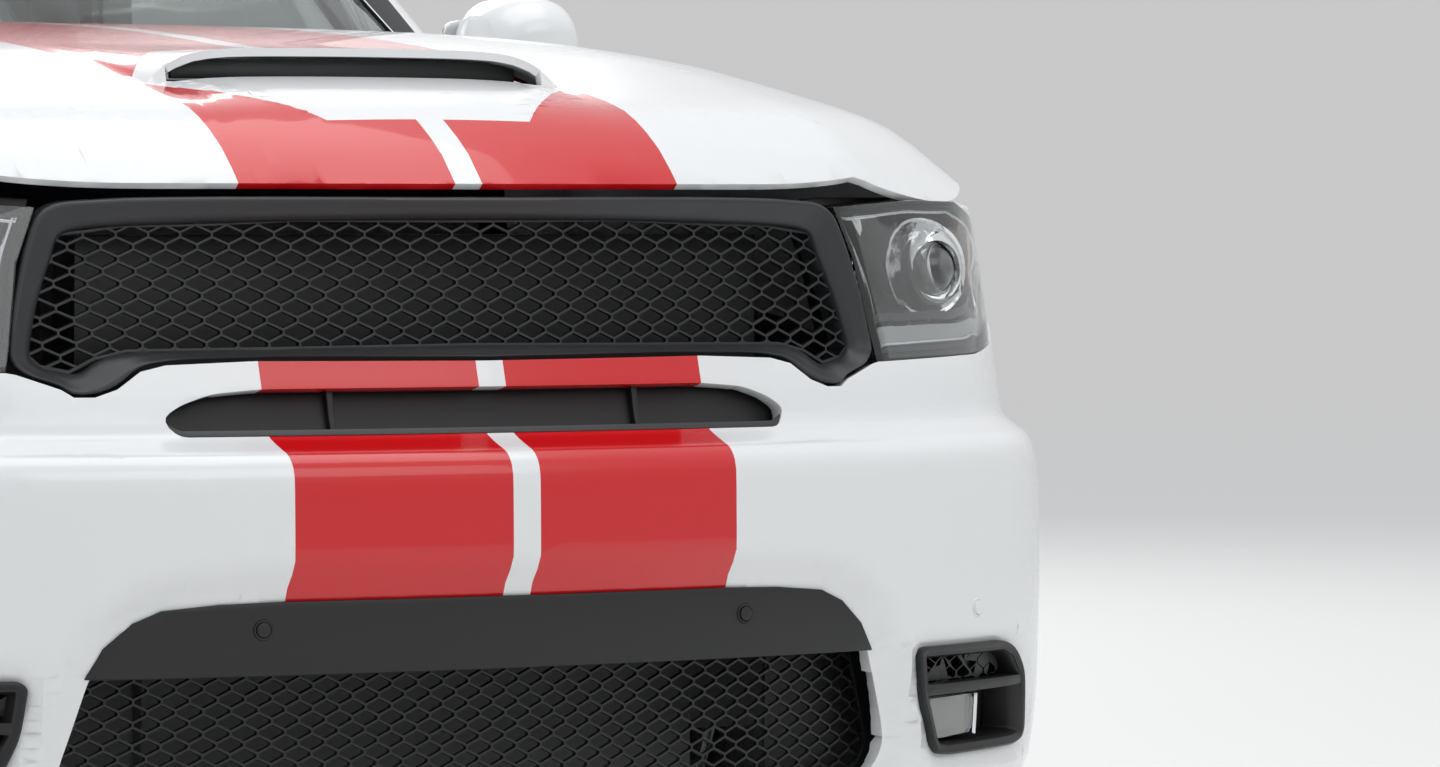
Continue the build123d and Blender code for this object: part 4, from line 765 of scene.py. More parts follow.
# ---- Carried-over solids ----
# Pieces whose shape is already right keep it. Each gets a copy with rounded edges, so that they catch light.
def dressed(node, material, edge=0.0012, crease=32.0, segments=2):
    """Copy of a CAD solid with its edges rounded, in place of the solid."""
    source = frame["nodes"][node]
    shape = bmesh.new()
    shape.from_mesh(source.data)
    for layer in shape.loops.layers.uv[:]:
        shape.loops.layers.uv.remove(layer)
    bmesh.ops.remove_doubles(shape, verts=shape.verts[:], dist=0.00002)
    bmesh.ops.dissolve_limit(
        shape, angle_limit=math.radians(0.6), use_dissolve_boundaries=False, verts=shape.verts[:],
        edges=shape.edges[:], delimit={"NORMAL"},
    )
    body = body_of(source)[0]
    piece = new_object(node + "_dressed", shape, material, body)
    if edge:
        round_edges = piece.modifiers.new("edges", "BEVEL")
        round_edges.width, round_edges.segments, round_edges.limit_method = edge, segments, "ANGLE"
        round_edges.angle_limit, round_edges.use_clamp_overlap = math.radians(crease), False
    finished(piece, crease)
    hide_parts(node)
    return piece


satin_black = finish("satin_black", (0.010, 0.010, 0.011), 0.42, grain=1800.0, bump=0.25, spread=0.12)
grey_plastic = finish("grey_plastic", (0.026, 0.027, 0.030), 0.36, grain=1800.0, bump=0.2, spread=0.12)
mesh_plastic = finish("mesh_plastic", (0.010, 0.011, 0.012), 0.38, grain=1400.0, bump=0.2, spread=0.15)
gloss_black = finish("gloss_black", (0.006, 0.006, 0.007), 0.12, coat=1.0, spread=0.05)
chrome = finish("chrome", (0.75, 0.76, 0.78), 0.08, metallic=1.0, spread=0.03, scale=60.0)
alloy = finish(
    "alloy", (0.52, 0.53, 0.55), 0.26, metallic=1.0, coat=0.4, grain=3000.0, bump=0.08, spread=0.08
)
cast_iron = finish("cast_iron", (0.16, 0.15, 0.15), 0.5, metallic=1.0, grain=500.0, bump=0.5, spread=0.3)
pipe_steel = finish(
    "pipe_steel", (0.42, 0.40, 0.38), 0.32, metallic=1.0, grain=900.0, bump=0.15, spread=0.35, scale=8.0
)
undercoat = finish("undercoat", (0.035, 0.035, 0.036), 0.78, grain=350.0, bump=0.9, spread=0.35, scale=9.0)
felt = finish("felt", (0.03, 0.03, 0.032), 0.95, grain=700.0, bump=1.0, spread=0.3)
dash_skin = finish("dash_skin", (0.030, 0.030, 0.033), 0.55, grain=900.0, bump=0.8, spread=0.15)
leather = finish("leather", (0.045, 0.043, 0.042), 0.46, grain=650.0, bump=0.8, spread=0.2, scale=18.0)


def glass_finish(name, colour, roughness=0.02):
    """Coloured clear sheet with a faint ripple."""
    material = finish(name, colour, roughness, spread=0.02, scale=6.0, grain=12.0, bump=0.05)
    shader = material.node_tree.nodes["Principled BSDF"]
    shader.inputs["Transmission Weight"].default_value = 1.0
    shader.inputs["IOR"].default_value = 1.5
    shader.inputs["Coat Weight"].default_value = 0.6
    return material


clear_glass = glass_finish("clear_glass", (0.93, 0.95, 0.95))
tinted_glass = glass_finish("tinted_glass", (0.62, 0.68, 0.66))
privacy_glass = glass_finish("privacy_glass", (0.20, 0.21, 0.22))
lamp_red = glass_finish("lamp_red", (0.55, 0.010, 0.012), 0.06)
amber = glass_finish("amber", (0.95, 0.32, 0.02), 0.08)
PAINTED = [
    "fender_left", "fender_right", "body_side_left", "body_side_right", "front_door_left", "front_door_right",
    "rear_door_left", "rear_door_right", "liftgate", "rear_bumper", "mirror_left", "mirror_right",
]
for node in PAINTED:
    dressed(node, white_paint, 0.0025, 30.0, 3)
for node in ("cowl", "lower_grille", "fog_lamps", "headlamp_housings"):
    dressed(node, satin_black, 0.0015)
for node in ("grille_mesh", "lower_mesh", "scoop_mesh"):
    dressed(node, mesh_plastic, 0.0006)
for node in ("front_door_glass_left", "front_door_glass_right", "fixed_glass"):
    dressed(node, tinted_glass, 0.0008)
for node in ("rear_door_glass_left", "rear_door_glass_right", "liftgate_glass"):
    dressed(node, privacy_glass, 0.0008)
for node in ("floor_pan", "fuel_tank"):
    dressed(node, undercoat, 0.003)
for node in ("wheel_liners",):
    dressed(node, felt, 0.001)
for node in ("front_suspension", "rear_suspension", "powertrain", "knuckle_left", "knuckle_right"):
    dressed(node, cast_iron, 0.003)
dressed("headlamp_lenses", clear_glass, 0.0006)
dressed("tail_lamps", lamp_red, 0.002)
dressed("liftgate_lamp", lamp_red, 0.002)
dressed("radiator", satin_black, 0.001)
dressed("exhaust", pipe_steel, 0.001)
dressed("dashboard", dash_skin, 0.012, 30.0, 4)
dressed("steering_wheel", leather, 0.001)
dressed("roof_panel", white_paint, 0.002, 30.0, 3)


# ---- Grille surround ----
# Moulded satin frame round the upper grille, with a fine raised ridge near its outer edge and a sloped face
# that leads back to the mesh.
SURROUND = [
    (0, 996, 0, 970), (353, 996, 341, 966), (474, 993, 470, 961), (530, 987, 508, 956), (548, 975, 522, 950),
    (563, 944, 533, 925), (581, 883, 553, 875), (590, 835, 566, 826), (592, 810, 567, 810),
    (580, 795, 556, 801),
    (541, 780, 533, 795), (527, 771, 520, 793), (503, 771, 508, 796), (476, 780, 490, 807),
    (446, 800, 462, 815),
    (415, 807, 430, 818), (306, 811, 306, 819), (0, 809, 0, 821),
]
SURROUND_PROFILE = [
    (0.0, 34.0), (0.0, 4.0), (0.05, 1.0), (0.13, 0.0), (0.22, 1.2), (0.34, 4.5), (0.62, 9.0), (0.9, 15.0),
    (1.0, 20.0),
    (1.02, 48.0),
]


def body_skin(y, z, inset=0.0, rows=BODY_ROWS):
    """Point of the front at a distance from the middle and a height, moved inwards."""
    return front_skin(rows, along_front(rows, y, z), z, inset)


def ring_form(rings, closed=False):
    """Surface through closed rings of points in millimetres."""
    shape = bmesh.new()
    loops = []
    for ring in rings:
        corners = [shape.verts.new(p * MM) for p in ring]
        loops.append([shape.edges.new(pair) for pair in zip(corners, corners[1:] + corners[:1])])
    pairs = list(zip(loops, loops[1:])) + ([(loops[-1], loops[0])] if closed else [])
    for first, second in pairs:
        bmesh.ops.bridge_loops(shape, edges=first + second)
    bmesh.ops.recalc_face_normals(shape, faces=shape.faces[:])
    return shape


mirrored_pairs = SURROUND + [(-a, b, -c, d) for a, b, c, d in SURROUND[-2:0:-1]]
stations = softened(mirrored_pairs, 11.0)
rings = []
for share, inset in SURROUND_PROFILE:
    rings.append([
        body_skin(p[0] + (p[2] - p[0]) * share, p[1] + (p[3] - p[1]) * share, inset) for p in stations
    ])
surround = new_object("grille_surround_frame", ring_form(rings), grey_plastic, "body")
finished(surround, 50.0)
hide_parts("grille_surround")


# ---- Parking sensors and slot ribs ----
# Round ultrasonic sensors, two in the dark lip and two in body colour at the corners, each in a thin groove.
def turned(profile, centre, axis, steps=48):
    """Form turned about an axis, from rows of radius and distance along the axis, in millimetres."""
    shape = bmesh.new()
    axis, centre = Vector(axis).normalized(), Vector(centre)
    across = axis.orthogonal().normalized()
    corners = [shape.verts.new((centre + axis * along + across * radius) * MM) for radius, along in profile]
    edges = [shape.edges.new(pair) for pair in zip(corners, corners[1:])]
    bmesh.ops.spin(
        shape, geom=corners + edges, cent=centre * MM, axis=axis, dvec=(0, 0, 0), angle=2 * math.pi,
        steps=steps, use_merge=True, use_duplicate=False,
    )
    bmesh.ops.remove_doubles(shape, verts=shape.verts[:], dist=1e-6)
    bmesh.ops.recalc_face_normals(shape, faces=shape.faces[:])
    return shape


def facing(y, z, rows):
    """Outward direction of the front's surface."""
    along = along_front(rows, y, z)
    turn = front_place(along, section_at(rows, z)[2])[2]
    return Vector((math.cos(turn), math.copysign(math.sin(turn), y), 0.0))


SENSOR = [
    (0, 3.2), (6.0, 3.0), (8.3, 2.4), (8.8, 1.2), (9.0, -1.0), (9.6, -1.0), (9.9, 1.0), (11.6, 1.3),
    (12.4, 0.2), (12.6, -4.0)
]
for side, side_name in ((1, "left"), (-1, "right")):
    place = body_skin(side * 332, 501, 20.0, BUMPER_ROWS)
    sensor = new_object(
        "lip_sensor_" + side_name, turned(SENSOR, place, facing(side * 332, 501, BUMPER_ROWS), 40),
        satin_black, "body",
    )
    finished(sensor, 40)
    place = bumper_skin(along_front(BUMPER_ROWS, side * 722, 493), 493, 0.0)
    sensor = new_object(
        "corner_sensor_" + side_name, turned(SENSOR, place, facing(side * 722, 493, BUMPER_ROWS), 40),
        white_paint, "body",
    )
    finished(sensor, 40)


def inlay(
    name, outline, inset, wall, material, rows=BODY_ROWS, side=1, edge=0.0012, step=8.0, body="body"
):
    """Plate that follows the front's surface, over an outline of distances from the middle and heights."""
    loop = [(side * y, z) for y, z in outline]
    net = flat_panel(
        [to_front(divided(loop, step), rows)],
        spaced(min(p[0] for p in to_front(loop, rows)), max(p[0] for p in to_front(loop, rows)), step * 2),
        spaced(min(p[1] for p in loop), max(p[1] for p in loop), step * 2),
    )
    shape = mapped(net, lambda along, height: front_skin(rows, along, height, inset))
    piece = new_object(name, shape, material, body)
    return walled(piece, wall * MM, edge, 3)


for side, side_name in ((1, "left"), (-1, "right")):
    inlay(
        "slot_rib_" + side_name, [(206, 724), (214, 724), (214, 772), (206, 772)], 14, 11, satin_black,
        BUMPER_ROWS, side, 0.001, 4.0,
    )
inlay(
    "slot_lip", both_sides([(0, 728), (405, 728), (424, 737), (426, 730), (412, 721.5), (0, 721.5)]), 3, 21,
    grey_plastic, BUMPER_ROWS, 1, 0.0018, 9.0,
)

# ---- Head lamps ----
# Behind a clear lens lie a projector in a bright D-shaped shroud, a ribbed reflector column, an amber side
# reflector, a light guide along the bottom and satin trim round the edge.
HEADLAMP = [
    (552, 982), (577, 921), (592, 836), (600, 797), (808, 802), (875, 815), (915, 850), (915, 930),
    (854, 970),
    (802, 988), (700, 990),
]
PROJECTOR_Y, PROJECTOR_Z = 742.0, 905.0
light_guide = finish("light_guide", (0.80, 0.82, 0.84), 0.25, coat=0.6, grain=900.0, bump=0.6, spread=0.05)
guide_shader = light_guide.node_tree.nodes["Principled BSDF"]
guide_shader.inputs["Transmission Weight"].default_value = 0.35
reflector = finish("reflector", (0.80, 0.81, 0.82), 0.10, metallic=1.0, grain=160.0, bump=0.9, spread=0.1)


def shrunk(outline, distance):
    """Closed outline whose points move inwards, whichever way round it runs."""
    area = sum(a[0] * b[1] - b[0] * a[1] for a, b in zip(outline, outline[1:] + outline[:1]))
    way = 1 if area > 0 else -1
    result = []
    for i, point in enumerate(outline):
        before, after = Vector(outline[i - 1]), Vector(outline[(i + 1) % len(outline)])
        direction = (after - before).normalized()
        result.append((point[0] - way * direction.y * distance, point[1] + way * direction.x * distance))
    return result


def front_ring(outline, rows, steps, side=1):
    """Rings for a rim that follows the front, from rows of inward distance and depth."""
    smooth = rounded(outline, 14, 7)
    result = []
    for inwards, depth in steps:
        result.append([body_skin(side * y, z, depth, rows) for y, z in shrunk(smooth, inwards)])
    return result


for side, side_name in ((1, "left"), (-1, "right")):
    trim = new_object(
        "lamp_trim_" + side_name,
        ring_form(
            front_ring(HEADLAMP, BODY_ROWS, [(5, 9), (7, 7.4), (10, 8.2), (14, 14), (19, 34), (21, 70)], side)
        ),
        grey_plastic, "body",
    )
    finished(trim, 45)
    bright = new_object(
        "lamp_bright_trim_" + side_name,
        ring_form(front_ring(HEADLAMP, BODY_ROWS, [(14.5, 13), (16, 12), (18.5, 12.6), (19.5, 16)], side)),
        chrome, "body",
    )
    finished(bright, 45)
    guide = [(612, 812), (800, 816), (862, 828), (886, 842), (884, 860), (858, 847), (796, 838), (608, 836)]
    inlay("light_guide_" + side_name, guide, 15, 18, light_guide, BODY_ROWS, side, 0.003, 9.0)
    shelf = [(604, 842), (796, 843), (858, 852), (884, 866), (882, 876), (852, 862), (790, 853), (603, 852)]
    inlay(
        "lamp_shelf_" + side_name, shelf, 22, 44, grey_plastic, BODY_ROWS, side, 0.002, 9.0
    )
    inlay(
        "amber_reflector_" + side_name, [(858, 884), (874, 888), (872, 950), (856, 953)], 16, 9, amber,
        BODY_ROWS, side, 0.0015, 6.0,
    )
    for rib in range(6):
        start = 604 + rib * 11 + 0.04
        inlay(
            "reflector_rib_%d_%s" % (rib, side_name),
            [(start, 862), (start + 8, 862), (start + 2 + rib, 962 - rib), (start - 6 + rib, 962 - rib)],
            34 + 4 * rib, 8, reflector, BODY_ROWS, side, 0.003, 9.0,
        )
    middle = Vector((2306.0, side * PROJECTOR_Y, PROJECTOR_Z))
    ahead = Vector((1.0, 0.0, 0.0))
    lens_glass = new_object(
        "projector_lens_" + side_name,
        turned([(0, 17), (10, 16), (20, 12.5), (28, 6.5), (33, -2), (33, -8), (0, -8)], middle, ahead, 48),
        clear_glass, "body",
    )
    finished(lens_glass, 40)
    shroud = new_object(
        "projector_shroud_" + side_name,
        turned(
            [(34, -14), (34.5, 4), (37, 7), (41, 4), (47, -6), (56, -16), (60, -15), (61, -22), (56, -26)],
            middle, ahead, 64
        ),
        reflector, "body",
    )
    finished(shroud, 40)
    bowl = new_object(
        "projector_bowl_" + side_name,
        turned([(0, -40), (18, -38), (29, -30), (33.5, -16)], middle, ahead, 48), gloss_black, "body",
    )
    finished(bowl, 40)

# ---- Fog lamps ----
# Dark bezel in the bumper's corner: a small hexagon mesh above a bar, and a rectangular lamp below it.
hex_holes = []
for line in range(3):
    for column in range(6):
        y = 640 + column * 30 + (15 if line % 2 else 0)
        z = 411 + line * 12.5
        if y < 796 and z < 440:
            hex_holes.append([
                (y + a * 13.2, z + b) for a,
                b in ((-1, -2.6), (0, -9.4), (1, -2.6), (1, 2.6), (0, 9.4), (-1, 2.6))
            ])
FOG_PLATE = [(626, 404), (800, 406), (812, 412), (800, 436), (786, 439), (630, 439)]
fog_bowl = finish("fog_bowl", (0.20, 0.21, 0.19), 0.35, metallic=0.7, grain=300.0, bump=0.3)
for side, side_name in ((1, "left"), (-1, "right")):
    rim = new_object(
        "fog_bezel_" + side_name,
        ring_form(
            front_ring(
                FOG, BUMPER_ROWS, [(-3, 14), (-2.5, 1.5), (0, -0.5), (4, 0.5), (9, 6), (13, 20), (14, 50)],
                side
            )
        ),
        satin_black, "body",
    )
    finished(rim, 45)
    loops = [to_front([(side * y, z) for y, z in divided(FOG_PLATE, 8)], BUMPER_ROWS)]
    loops += [to_front([(side * y, z) for y, z in hole], BUMPER_ROWS) for hole in hex_holes]
    plate_net = flat_panel(loops, [], [])
    plate = new_object(
        "fog_mesh_" + side_name,
        mapped(plate_net, lambda along, height: front_skin(BUMPER_ROWS, along, height, 24.0)), mesh_plastic,
        "body",
    )
    walled(plate, 0.007, 0.0006, 1)
    lamp = [(640, 384), (728, 386), (734, 380), (734, 344), (728, 338), (668, 334), (656, 336), (646, 346)]
    inlay("fog_reflector_" + side_name, lamp, 20, 3, fog_bowl, BUMPER_ROWS, side, 0.001, 6.0)
    inlay("fog_glass_" + side_name, lamp, 11, 5, clear_glass, BUMPER_ROWS, side, 0.002, 6.0)
    inlay(
        "fog_lamp_edge_" + side_name, [(735, 386), (742, 386), (742, 334), (735, 336)], 10, 16, chrome,
        BUMPER_ROWS, side, 0.002, 6.0,
    )


# ---- Second finishes ----
# Parts of one solid that are made of another material, such as door trim behind the paint, take it by place.
def part_finish(piece, material, test):
    """Gives the faces whose middle and normal pass a test a second material."""
    piece.data.materials.append(material)
    place = len(piece.data.materials) - 1
    for face in piece.data.polygons:
        if test(face.center / MM, face.normal):
            face.material_index = place


SIDE_HALF = [(240, 902), (330, 940), (450, 944), (600, 946), (715, 946), (803, 945), (900, 942), (1006, 932),
             (1130, 902), (1410, 815), (1640, 690), (1700, 640)]


def half_at(height):
    """Half width of the body at a height."""
    for (low, first), (high, second) in zip(SIDE_HALF, SIDE_HALF[1:]):
        if height <= high:
            return first + (second - first) * max(height - low, 0) / (high - low)
    return SIDE_HALF[-1][1]


def inner_side(middle, normal):
    inside = abs(middle.y) < half_at(middle.z) - 20 and normal.y * middle.y < 0.35 * abs(middle.y)
    return inside and -0.3 < normal.x < 0.6


trim_cloth = finish("trim_cloth", (0.11, 0.105, 0.10), 0.8, grain=1100.0, bump=0.7, spread=0.15)
for node in ("front_door", "rear_door", "body_side"):
    for side_name in ("left", "right"):
        piece = bpy.data.objects[node + "_" + side_name + "_dressed"]
        part_finish(piece, dash_skin, inner_side)
        part_finish(piece, satin_black, lambda middle, normal: middle.z < 348 and abs(normal.y) > 0.3)
part_finish(bpy.data.objects["liftgate_dressed"], dash_skin, lambda middle, normal: normal.x > 0.5)
part_finish(bpy.data.objects["rear_bumper_dressed"], satin_black, lambda middle, normal: middle.z < 390)
roof = bpy.data.objects["roof_panel_dressed"]
part_finish(roof, trim_cloth, lambda middle, normal: normal.z < -0.2)
part_finish(roof, satin_black, lambda middle, normal: (
    abs(middle.y) > 556 and middle.z > 1700 and abs(middle.y) < 598
    and (middle.z > 1722 or abs(normal.y) > 0.8)
))
part_finish(
    bpy.data.objects["floor_pan_dressed"], felt, lambda middle, normal: normal.z > 0.7 and middle.z > 380
)
for side_name in ("left", "right"):
    part_finish(
        bpy.data.objects["mirror_" + side_name + "_dressed"], satin_black, lambda middle,
        normal: middle.z < 1112
    )

# ---- Wheels ----
# Cast alloy wheels with five pairs of spokes, a plain centre cap, five hexagon nuts each and steel brake
# discs with fine turned grooves.
FRONT_AXLE, REAR_AXLE, WHEEL_Y, AXLE_Z = 1625.0, -1417.0, 811.5, 386.0
AXLES = {"front": FRONT_AXLE, "rear": REAR_AXLE}
disc_steel = finish(
    "disc_steel", (0.46, 0.46, 0.47), 0.3, metallic=1.0, grain=40.0, bump=0.1, spread=0.2, scale=12.0
)
cap_finish = finish("cap_finish", (0.05, 0.05, 0.055), 0.25, metallic=0.6, coat=0.8, spread=0.06)
DISC = [
    (92, 14.5), (96, 15.6), (172.4, 15.6), (173.2, 14.8), (173.2, 3.0), (168, 2.4), (168, -4.4),
    (173.2, -5.0), (173.2, -16.8), (172.4, -17.6), (96, -17.6), (92, -16.5),
]
CAP = [
    (0, 94.0), (14, 93.8), (24, 92.6), (27, 91.4), (27.5, 90.4), (29.5, 90.2), (30, 91.2), (33.5, 90.8),
    (35, 88.6), (35, 84)
]
for end, axle in AXLES.items():
    for side, side_name in ((1, "left"), (-1, "right")):
        corner_name = end + "_" + side_name
        dressed("wheel_" + corner_name, alloy, 0.004, 30.0, 3)
        hub = Vector((axle, side * WHEEL_Y, AXLE_Z))
        out = Vector((0, side, 0))
        body = "wheel_" + corner_name
        disc = new_object("brake_disc_" + corner_name, turned(DISC, hub, out, 96), disc_steel, body)
        finished(disc, 40)
        cap = new_object("wheel_cap_" + corner_name, turned(CAP, hub, out, 64), cap_finish, body)
        finished(cap, 40)
        nuts = bmesh.new()
        for i in range(5):
            angle = math.radians(18 + 72 * i + 36)
            place = hub + Vector((58 * math.cos(angle), 0, 58 * math.sin(angle)))
            seat = turned([(0, 89.5), (9.5, 89.5), (14, 91.0), (17.0, 90.0), (17.4, 86)], place, out, 24)
            data = bpy.data.meshes.new("nut_seat")
            seat.to_mesh(data)
            seat.free()
            nuts.from_mesh(data)
            bpy.data.meshes.remove(data)
            ring = []
            for along, radius in ((88, 10.5), (99, 10.5), (101.5, 8.0)):
                ring.append([
                    nuts.verts.new((place + out * along + Vector((
                        radius * math.cos(math.radians(60 * k)), 0,
                        radius * math.sin(math.radians(60 * k))))) * MM)
                    for k in range(6)
                ])
            for low, high in zip(ring, ring[1:]):
                for k in range(6):
                    nuts.faces.new((low[k], low[(k + 1) % 6], high[(k + 1) % 6], high[k]))
            nuts.faces.new(ring[-1])
        bmesh.ops.recalc_face_normals(nuts, faces=nuts.faces[:])
        finished(new_object("wheel_nuts_" + corner_name, nuts, chrome, body), 30)

# ---- Tyres ----
# Road tyres: a sidewall with a rim protector and fine rings, and a tread of five ribs cut into blocks by
# slanted grooves.
rubber = finish("tyre_rubber", (0.016, 0.016, 0.017), 0.72, grain=1500.0, bump=0.5, spread=0.3, scale=10.0)
SIDEWALL = [
    (256.6, 96), (257, 101), (262, 103), (272, 104.5), (279, 109.5), (282, 111.4), (285, 111.6), (288, 110.6),
    (300, 123.5),
    (316, 130.3), (327, 131.6), (328.5, 130.6), (330, 131.5), (346, 129.4), (347.5, 128.4), (349, 129.0),
    (360, 124.5),
    (367, 120.0), (373, 114.5), (377.4, 107.5),
]
TREAD_FLOOR = [(377.6, a) for a in range(100, -101, -20)]
RIBS = [(-109, -69), (-62, -27), (-20, 20), (27, 62), (69, 109)]
PITCHES = 66


def tread_top(along):
    return 385.6 - 2.6 * (along / 92.5) ** 2 - (0.0 if abs(along) < 92.5 else (abs(along) - 92.5) * 0.14)


def tyre_shape(centre, side):
    """Tyre about a wheel centre, outboard towards side."""
    profile = SIDEWALL + TREAD_FLOOR + [(r, -a) for r, a in SIDEWALL[::-1]] + [(256.6, 96)]
    shape = turned(profile, centre, (0, side, 0), 88)
    blocks = bmesh.new()
    pitch = 2 * math.pi / PITCHES
    for number, (start, end) in enumerate(RIBS):
        offset = pitch * (0.5 if number % 2 else 0.0)
        corners = []
        for along in (start, end):
            lean = (abs(along) - 40) * 0.0011 if number != 2 else along * 0.0016
            for angle in (0.055 * pitch, 0.945 * pitch):
                turn = offset + angle + lean
                for radius in (377.2, tread_top(along)):
                    shrink = 0.0 if radius < 378 else 0.02 * pitch * (1 if angle < pitch / 2 else -1)
                    corners.append(blocks.verts.new((
                        (centre.x + radius * math.cos(turn + shrink)) * MM, (centre.y + side * along) * MM,
                        (centre.z + radius * math.sin(turn + shrink)) * MM,
                    )))
        a0, a1, b0, b1, c0, c1, d0, d1 = corners
        faces = [
            blocks.faces.new(f) for f in (
                (a1, b1, d1, c1), (a0, a1, c1, c0), (b0, d0, d1, b1), (a0, b0, b1, a1), (c0, c1, d1, d0)
            )
        ]
        rim_edges = list(faces[0].edges)
        bmesh.ops.bevel(
            blocks, geom=rim_edges, offset=0.0013, offset_type="OFFSET", segments=1, profile=0.5,
            affect="EDGES", material=-1,
        )
    bmesh.ops.recalc_face_normals(blocks, faces=blocks.faces[:])
    bmesh.ops.spin(
        blocks, geom=blocks.verts[:] + blocks.edges[:] + blocks.faces[:], cent=centre * MM, axis=(0, -1, 0),
        dvec=(0, 0, 0),
        angle=2 * math.pi * (PITCHES - 1) / PITCHES, steps=PITCHES - 1, use_duplicate=True, use_merge=False,
    )
    data = bpy.data.meshes.new("tread_blocks")
    blocks.to_mesh(data)
    blocks.free()
    shape.from_mesh(data)
    bpy.data.meshes.remove(data)
    return shape


for end, axle in AXLES.items():
    for side, side_name in ((1, "left"), (-1, "right")):
        corner_name = end + "_" + side_name
        tyre = new_object(
            "tyre_tread_" + corner_name, tyre_shape(Vector((axle, side * WHEEL_Y, AXLE_Z)), side), rubber,
            "wheel_" + corner_name,
        )
        finished(tyre, 28)
        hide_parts("tyre_" + corner_name)


# ---- Seats ----
# Leather seats on moulded plinths: two in front, a bench for three and a third row for two. Cushions and
# backs are crowned pads with raised side bolsters, sewn channels and separate headrests.
seat_leather = finish(
    "seat_leather", (0.040, 0.038, 0.037), 0.5, grain=520.0, bump=1.0, spread=0.22, scale=14.0
)
CUTS = 26


def pad(name, size, place, lean, bolster, crown, channels, power=7.0, side_channel=0.60):
    """Stuffed pad: width along y, length along its own second axis and thickness, leaned about y."""
    width, length, thickness = size
    shape = bmesh.new()
    bmesh.ops.create_cube(shape, size=2.0)
    bmesh.ops.subdivide_edges(shape, edges=shape.edges[:], cuts=CUTS, use_grid_fill=True)
    turn = Matrix.Rotation(math.radians(lean), 3, "Y")
    for corner in shape.verts:
        a, b, c = corner.co
        reach = (abs(a) ** power + abs(b) ** power + abs(c) ** power) ** (1 / power)
        a, b, c = a / reach, b / reach, c / reach
        # The sides pull in between the corners, and the top crowns up to its middle.
        pull = 1 - 0.020 * (1 - b * b) * abs(a) ** 3 - 0.012 * (1 - a * a) * abs(b) ** 3
        height = c * thickness / 2
        if c > 0:
            top = min(c * 1.6, 1.0)
            height += top * crown * (1 - a * a) * (1 - b * b)
            height += top * bolster * eased((abs(a) - side_channel) / 0.24) * (1 - 0.5 * b * b)
            for line in channels:
                height -= top * 7.0 * math.exp(
                    -((b - line) * length / 2 / 7.0) ** 2
                ) * (1 if abs(a) < side_channel else 0)
            height -= top * 8.0 * math.exp(-((abs(a) - side_channel) * width / 2 / 7.0) ** 2)
        seam = 3.0 * math.exp(-((abs(c) - 0.55) * thickness / 2 / 5.0) ** 2)
        x, y = b * pull * (length / 2 - seam), a * pull * (width / 2 - seam)
        corner.co = (turn @ Vector((x, y, height)) + Vector(place)) * MM
    piece = new_object(name, shape, seat_leather, "body")
    finished(piece, 60)
    return piece


def plinth(name, x, y, width, length, low, high):
    """Moulded base under a cushion, with rounded edges and a waist."""
    shape = bmesh.new()
    bmesh.ops.create_cube(shape, size=2.0)
    for corner in shape.verts:
        narrow = 0.86 if corner.co.z < 0 else 1.0
        corner.co = Vector((
            x + corner.co.x * length / 2 * narrow, y + corner.co.y * width / 2 * narrow,
            low if corner.co.z < 0 else high,
        )) * MM
    bmesh.ops.bevel(
        shape, geom=shape.edges[:], offset=0.022, offset_type="OFFSET", segments=4, profile=0.5,
        affect="EDGES", material=-1,
    )
    return finished(new_object(name, shape, dash_skin, "body"), 40)


def seat_row(name, x, y, height, width, floor, heads, back, split=()):
    """Cushion, back, headrests on posts and plinth. Split gives the middles of separate places on a bench."""
    places = split or [y]
    part_width = width / len(places)
    pieces = []
    for number, place in enumerate(places):
        label = "%s_%d" % (name, number)
        pieces.append(pad(
            label + "_cushion", (part_width - 8, 560, 108), (x + 262, place, height + 62), -4.0, 16.0, 12.0,
            (-0.25, 0.28),
        ))
        tall = 560 * back
        pieces.append(pad(
            label + "_back", (part_width - 14, tall, 92), (x + 25, place, height + 60 + 318 * back), -75.0,
            18.0, 10.0,
            (-0.45, 0.0, 0.4),
        ))
    posts = bmesh.new()
    for number, place in enumerate(heads):
        head_y = y + place
        pieces.append(pad(
            "%s_head_%d" % (name, number), (250, 138, 84), (x - 78, head_y, height + 722 * back + 10), -82.0,
            4.0, 8.0, (),
            power=4.0, side_channel=2.0,
        ))
        for post_y in (head_y - 60, head_y + 60):
            start = Vector((x - 48, post_y, height + 560 * back + 20))
            post = turned([(0, 0), (6.5, 0), (6.5, 150), (0, 150)], start, (-0.26, 0, 1.0), 16)
            data = bpy.data.meshes.new("post")
            post.to_mesh(data)
            post.free()
            posts.from_mesh(data)
            bpy.data.meshes.remove(data)
    finished(new_object(name + "_posts", posts, chrome, "body"), 40)
    plinth(name + "_plinth", x + 250, y, width - 120, 440, floor + 3, height + 12)
    return pieces


left = seat_row("front_seat_left", 60, 370, 610, 500, 400, (0,), 1.0)
seat_row("front_seat_right", 60, -370, 610, 500, 400, (0,), 1.0)
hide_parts("front_seats")
middle = seat_row("middle_bench", -690, 0, 650, 1260, 590, (-420, 0, 420), 0.95, (-420, 0, 420))
seat_row("last_bench", -1300, 0, 705, 1040, 590, (-260, 260), 0.85, (-260, 260))
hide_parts("rear_seats")


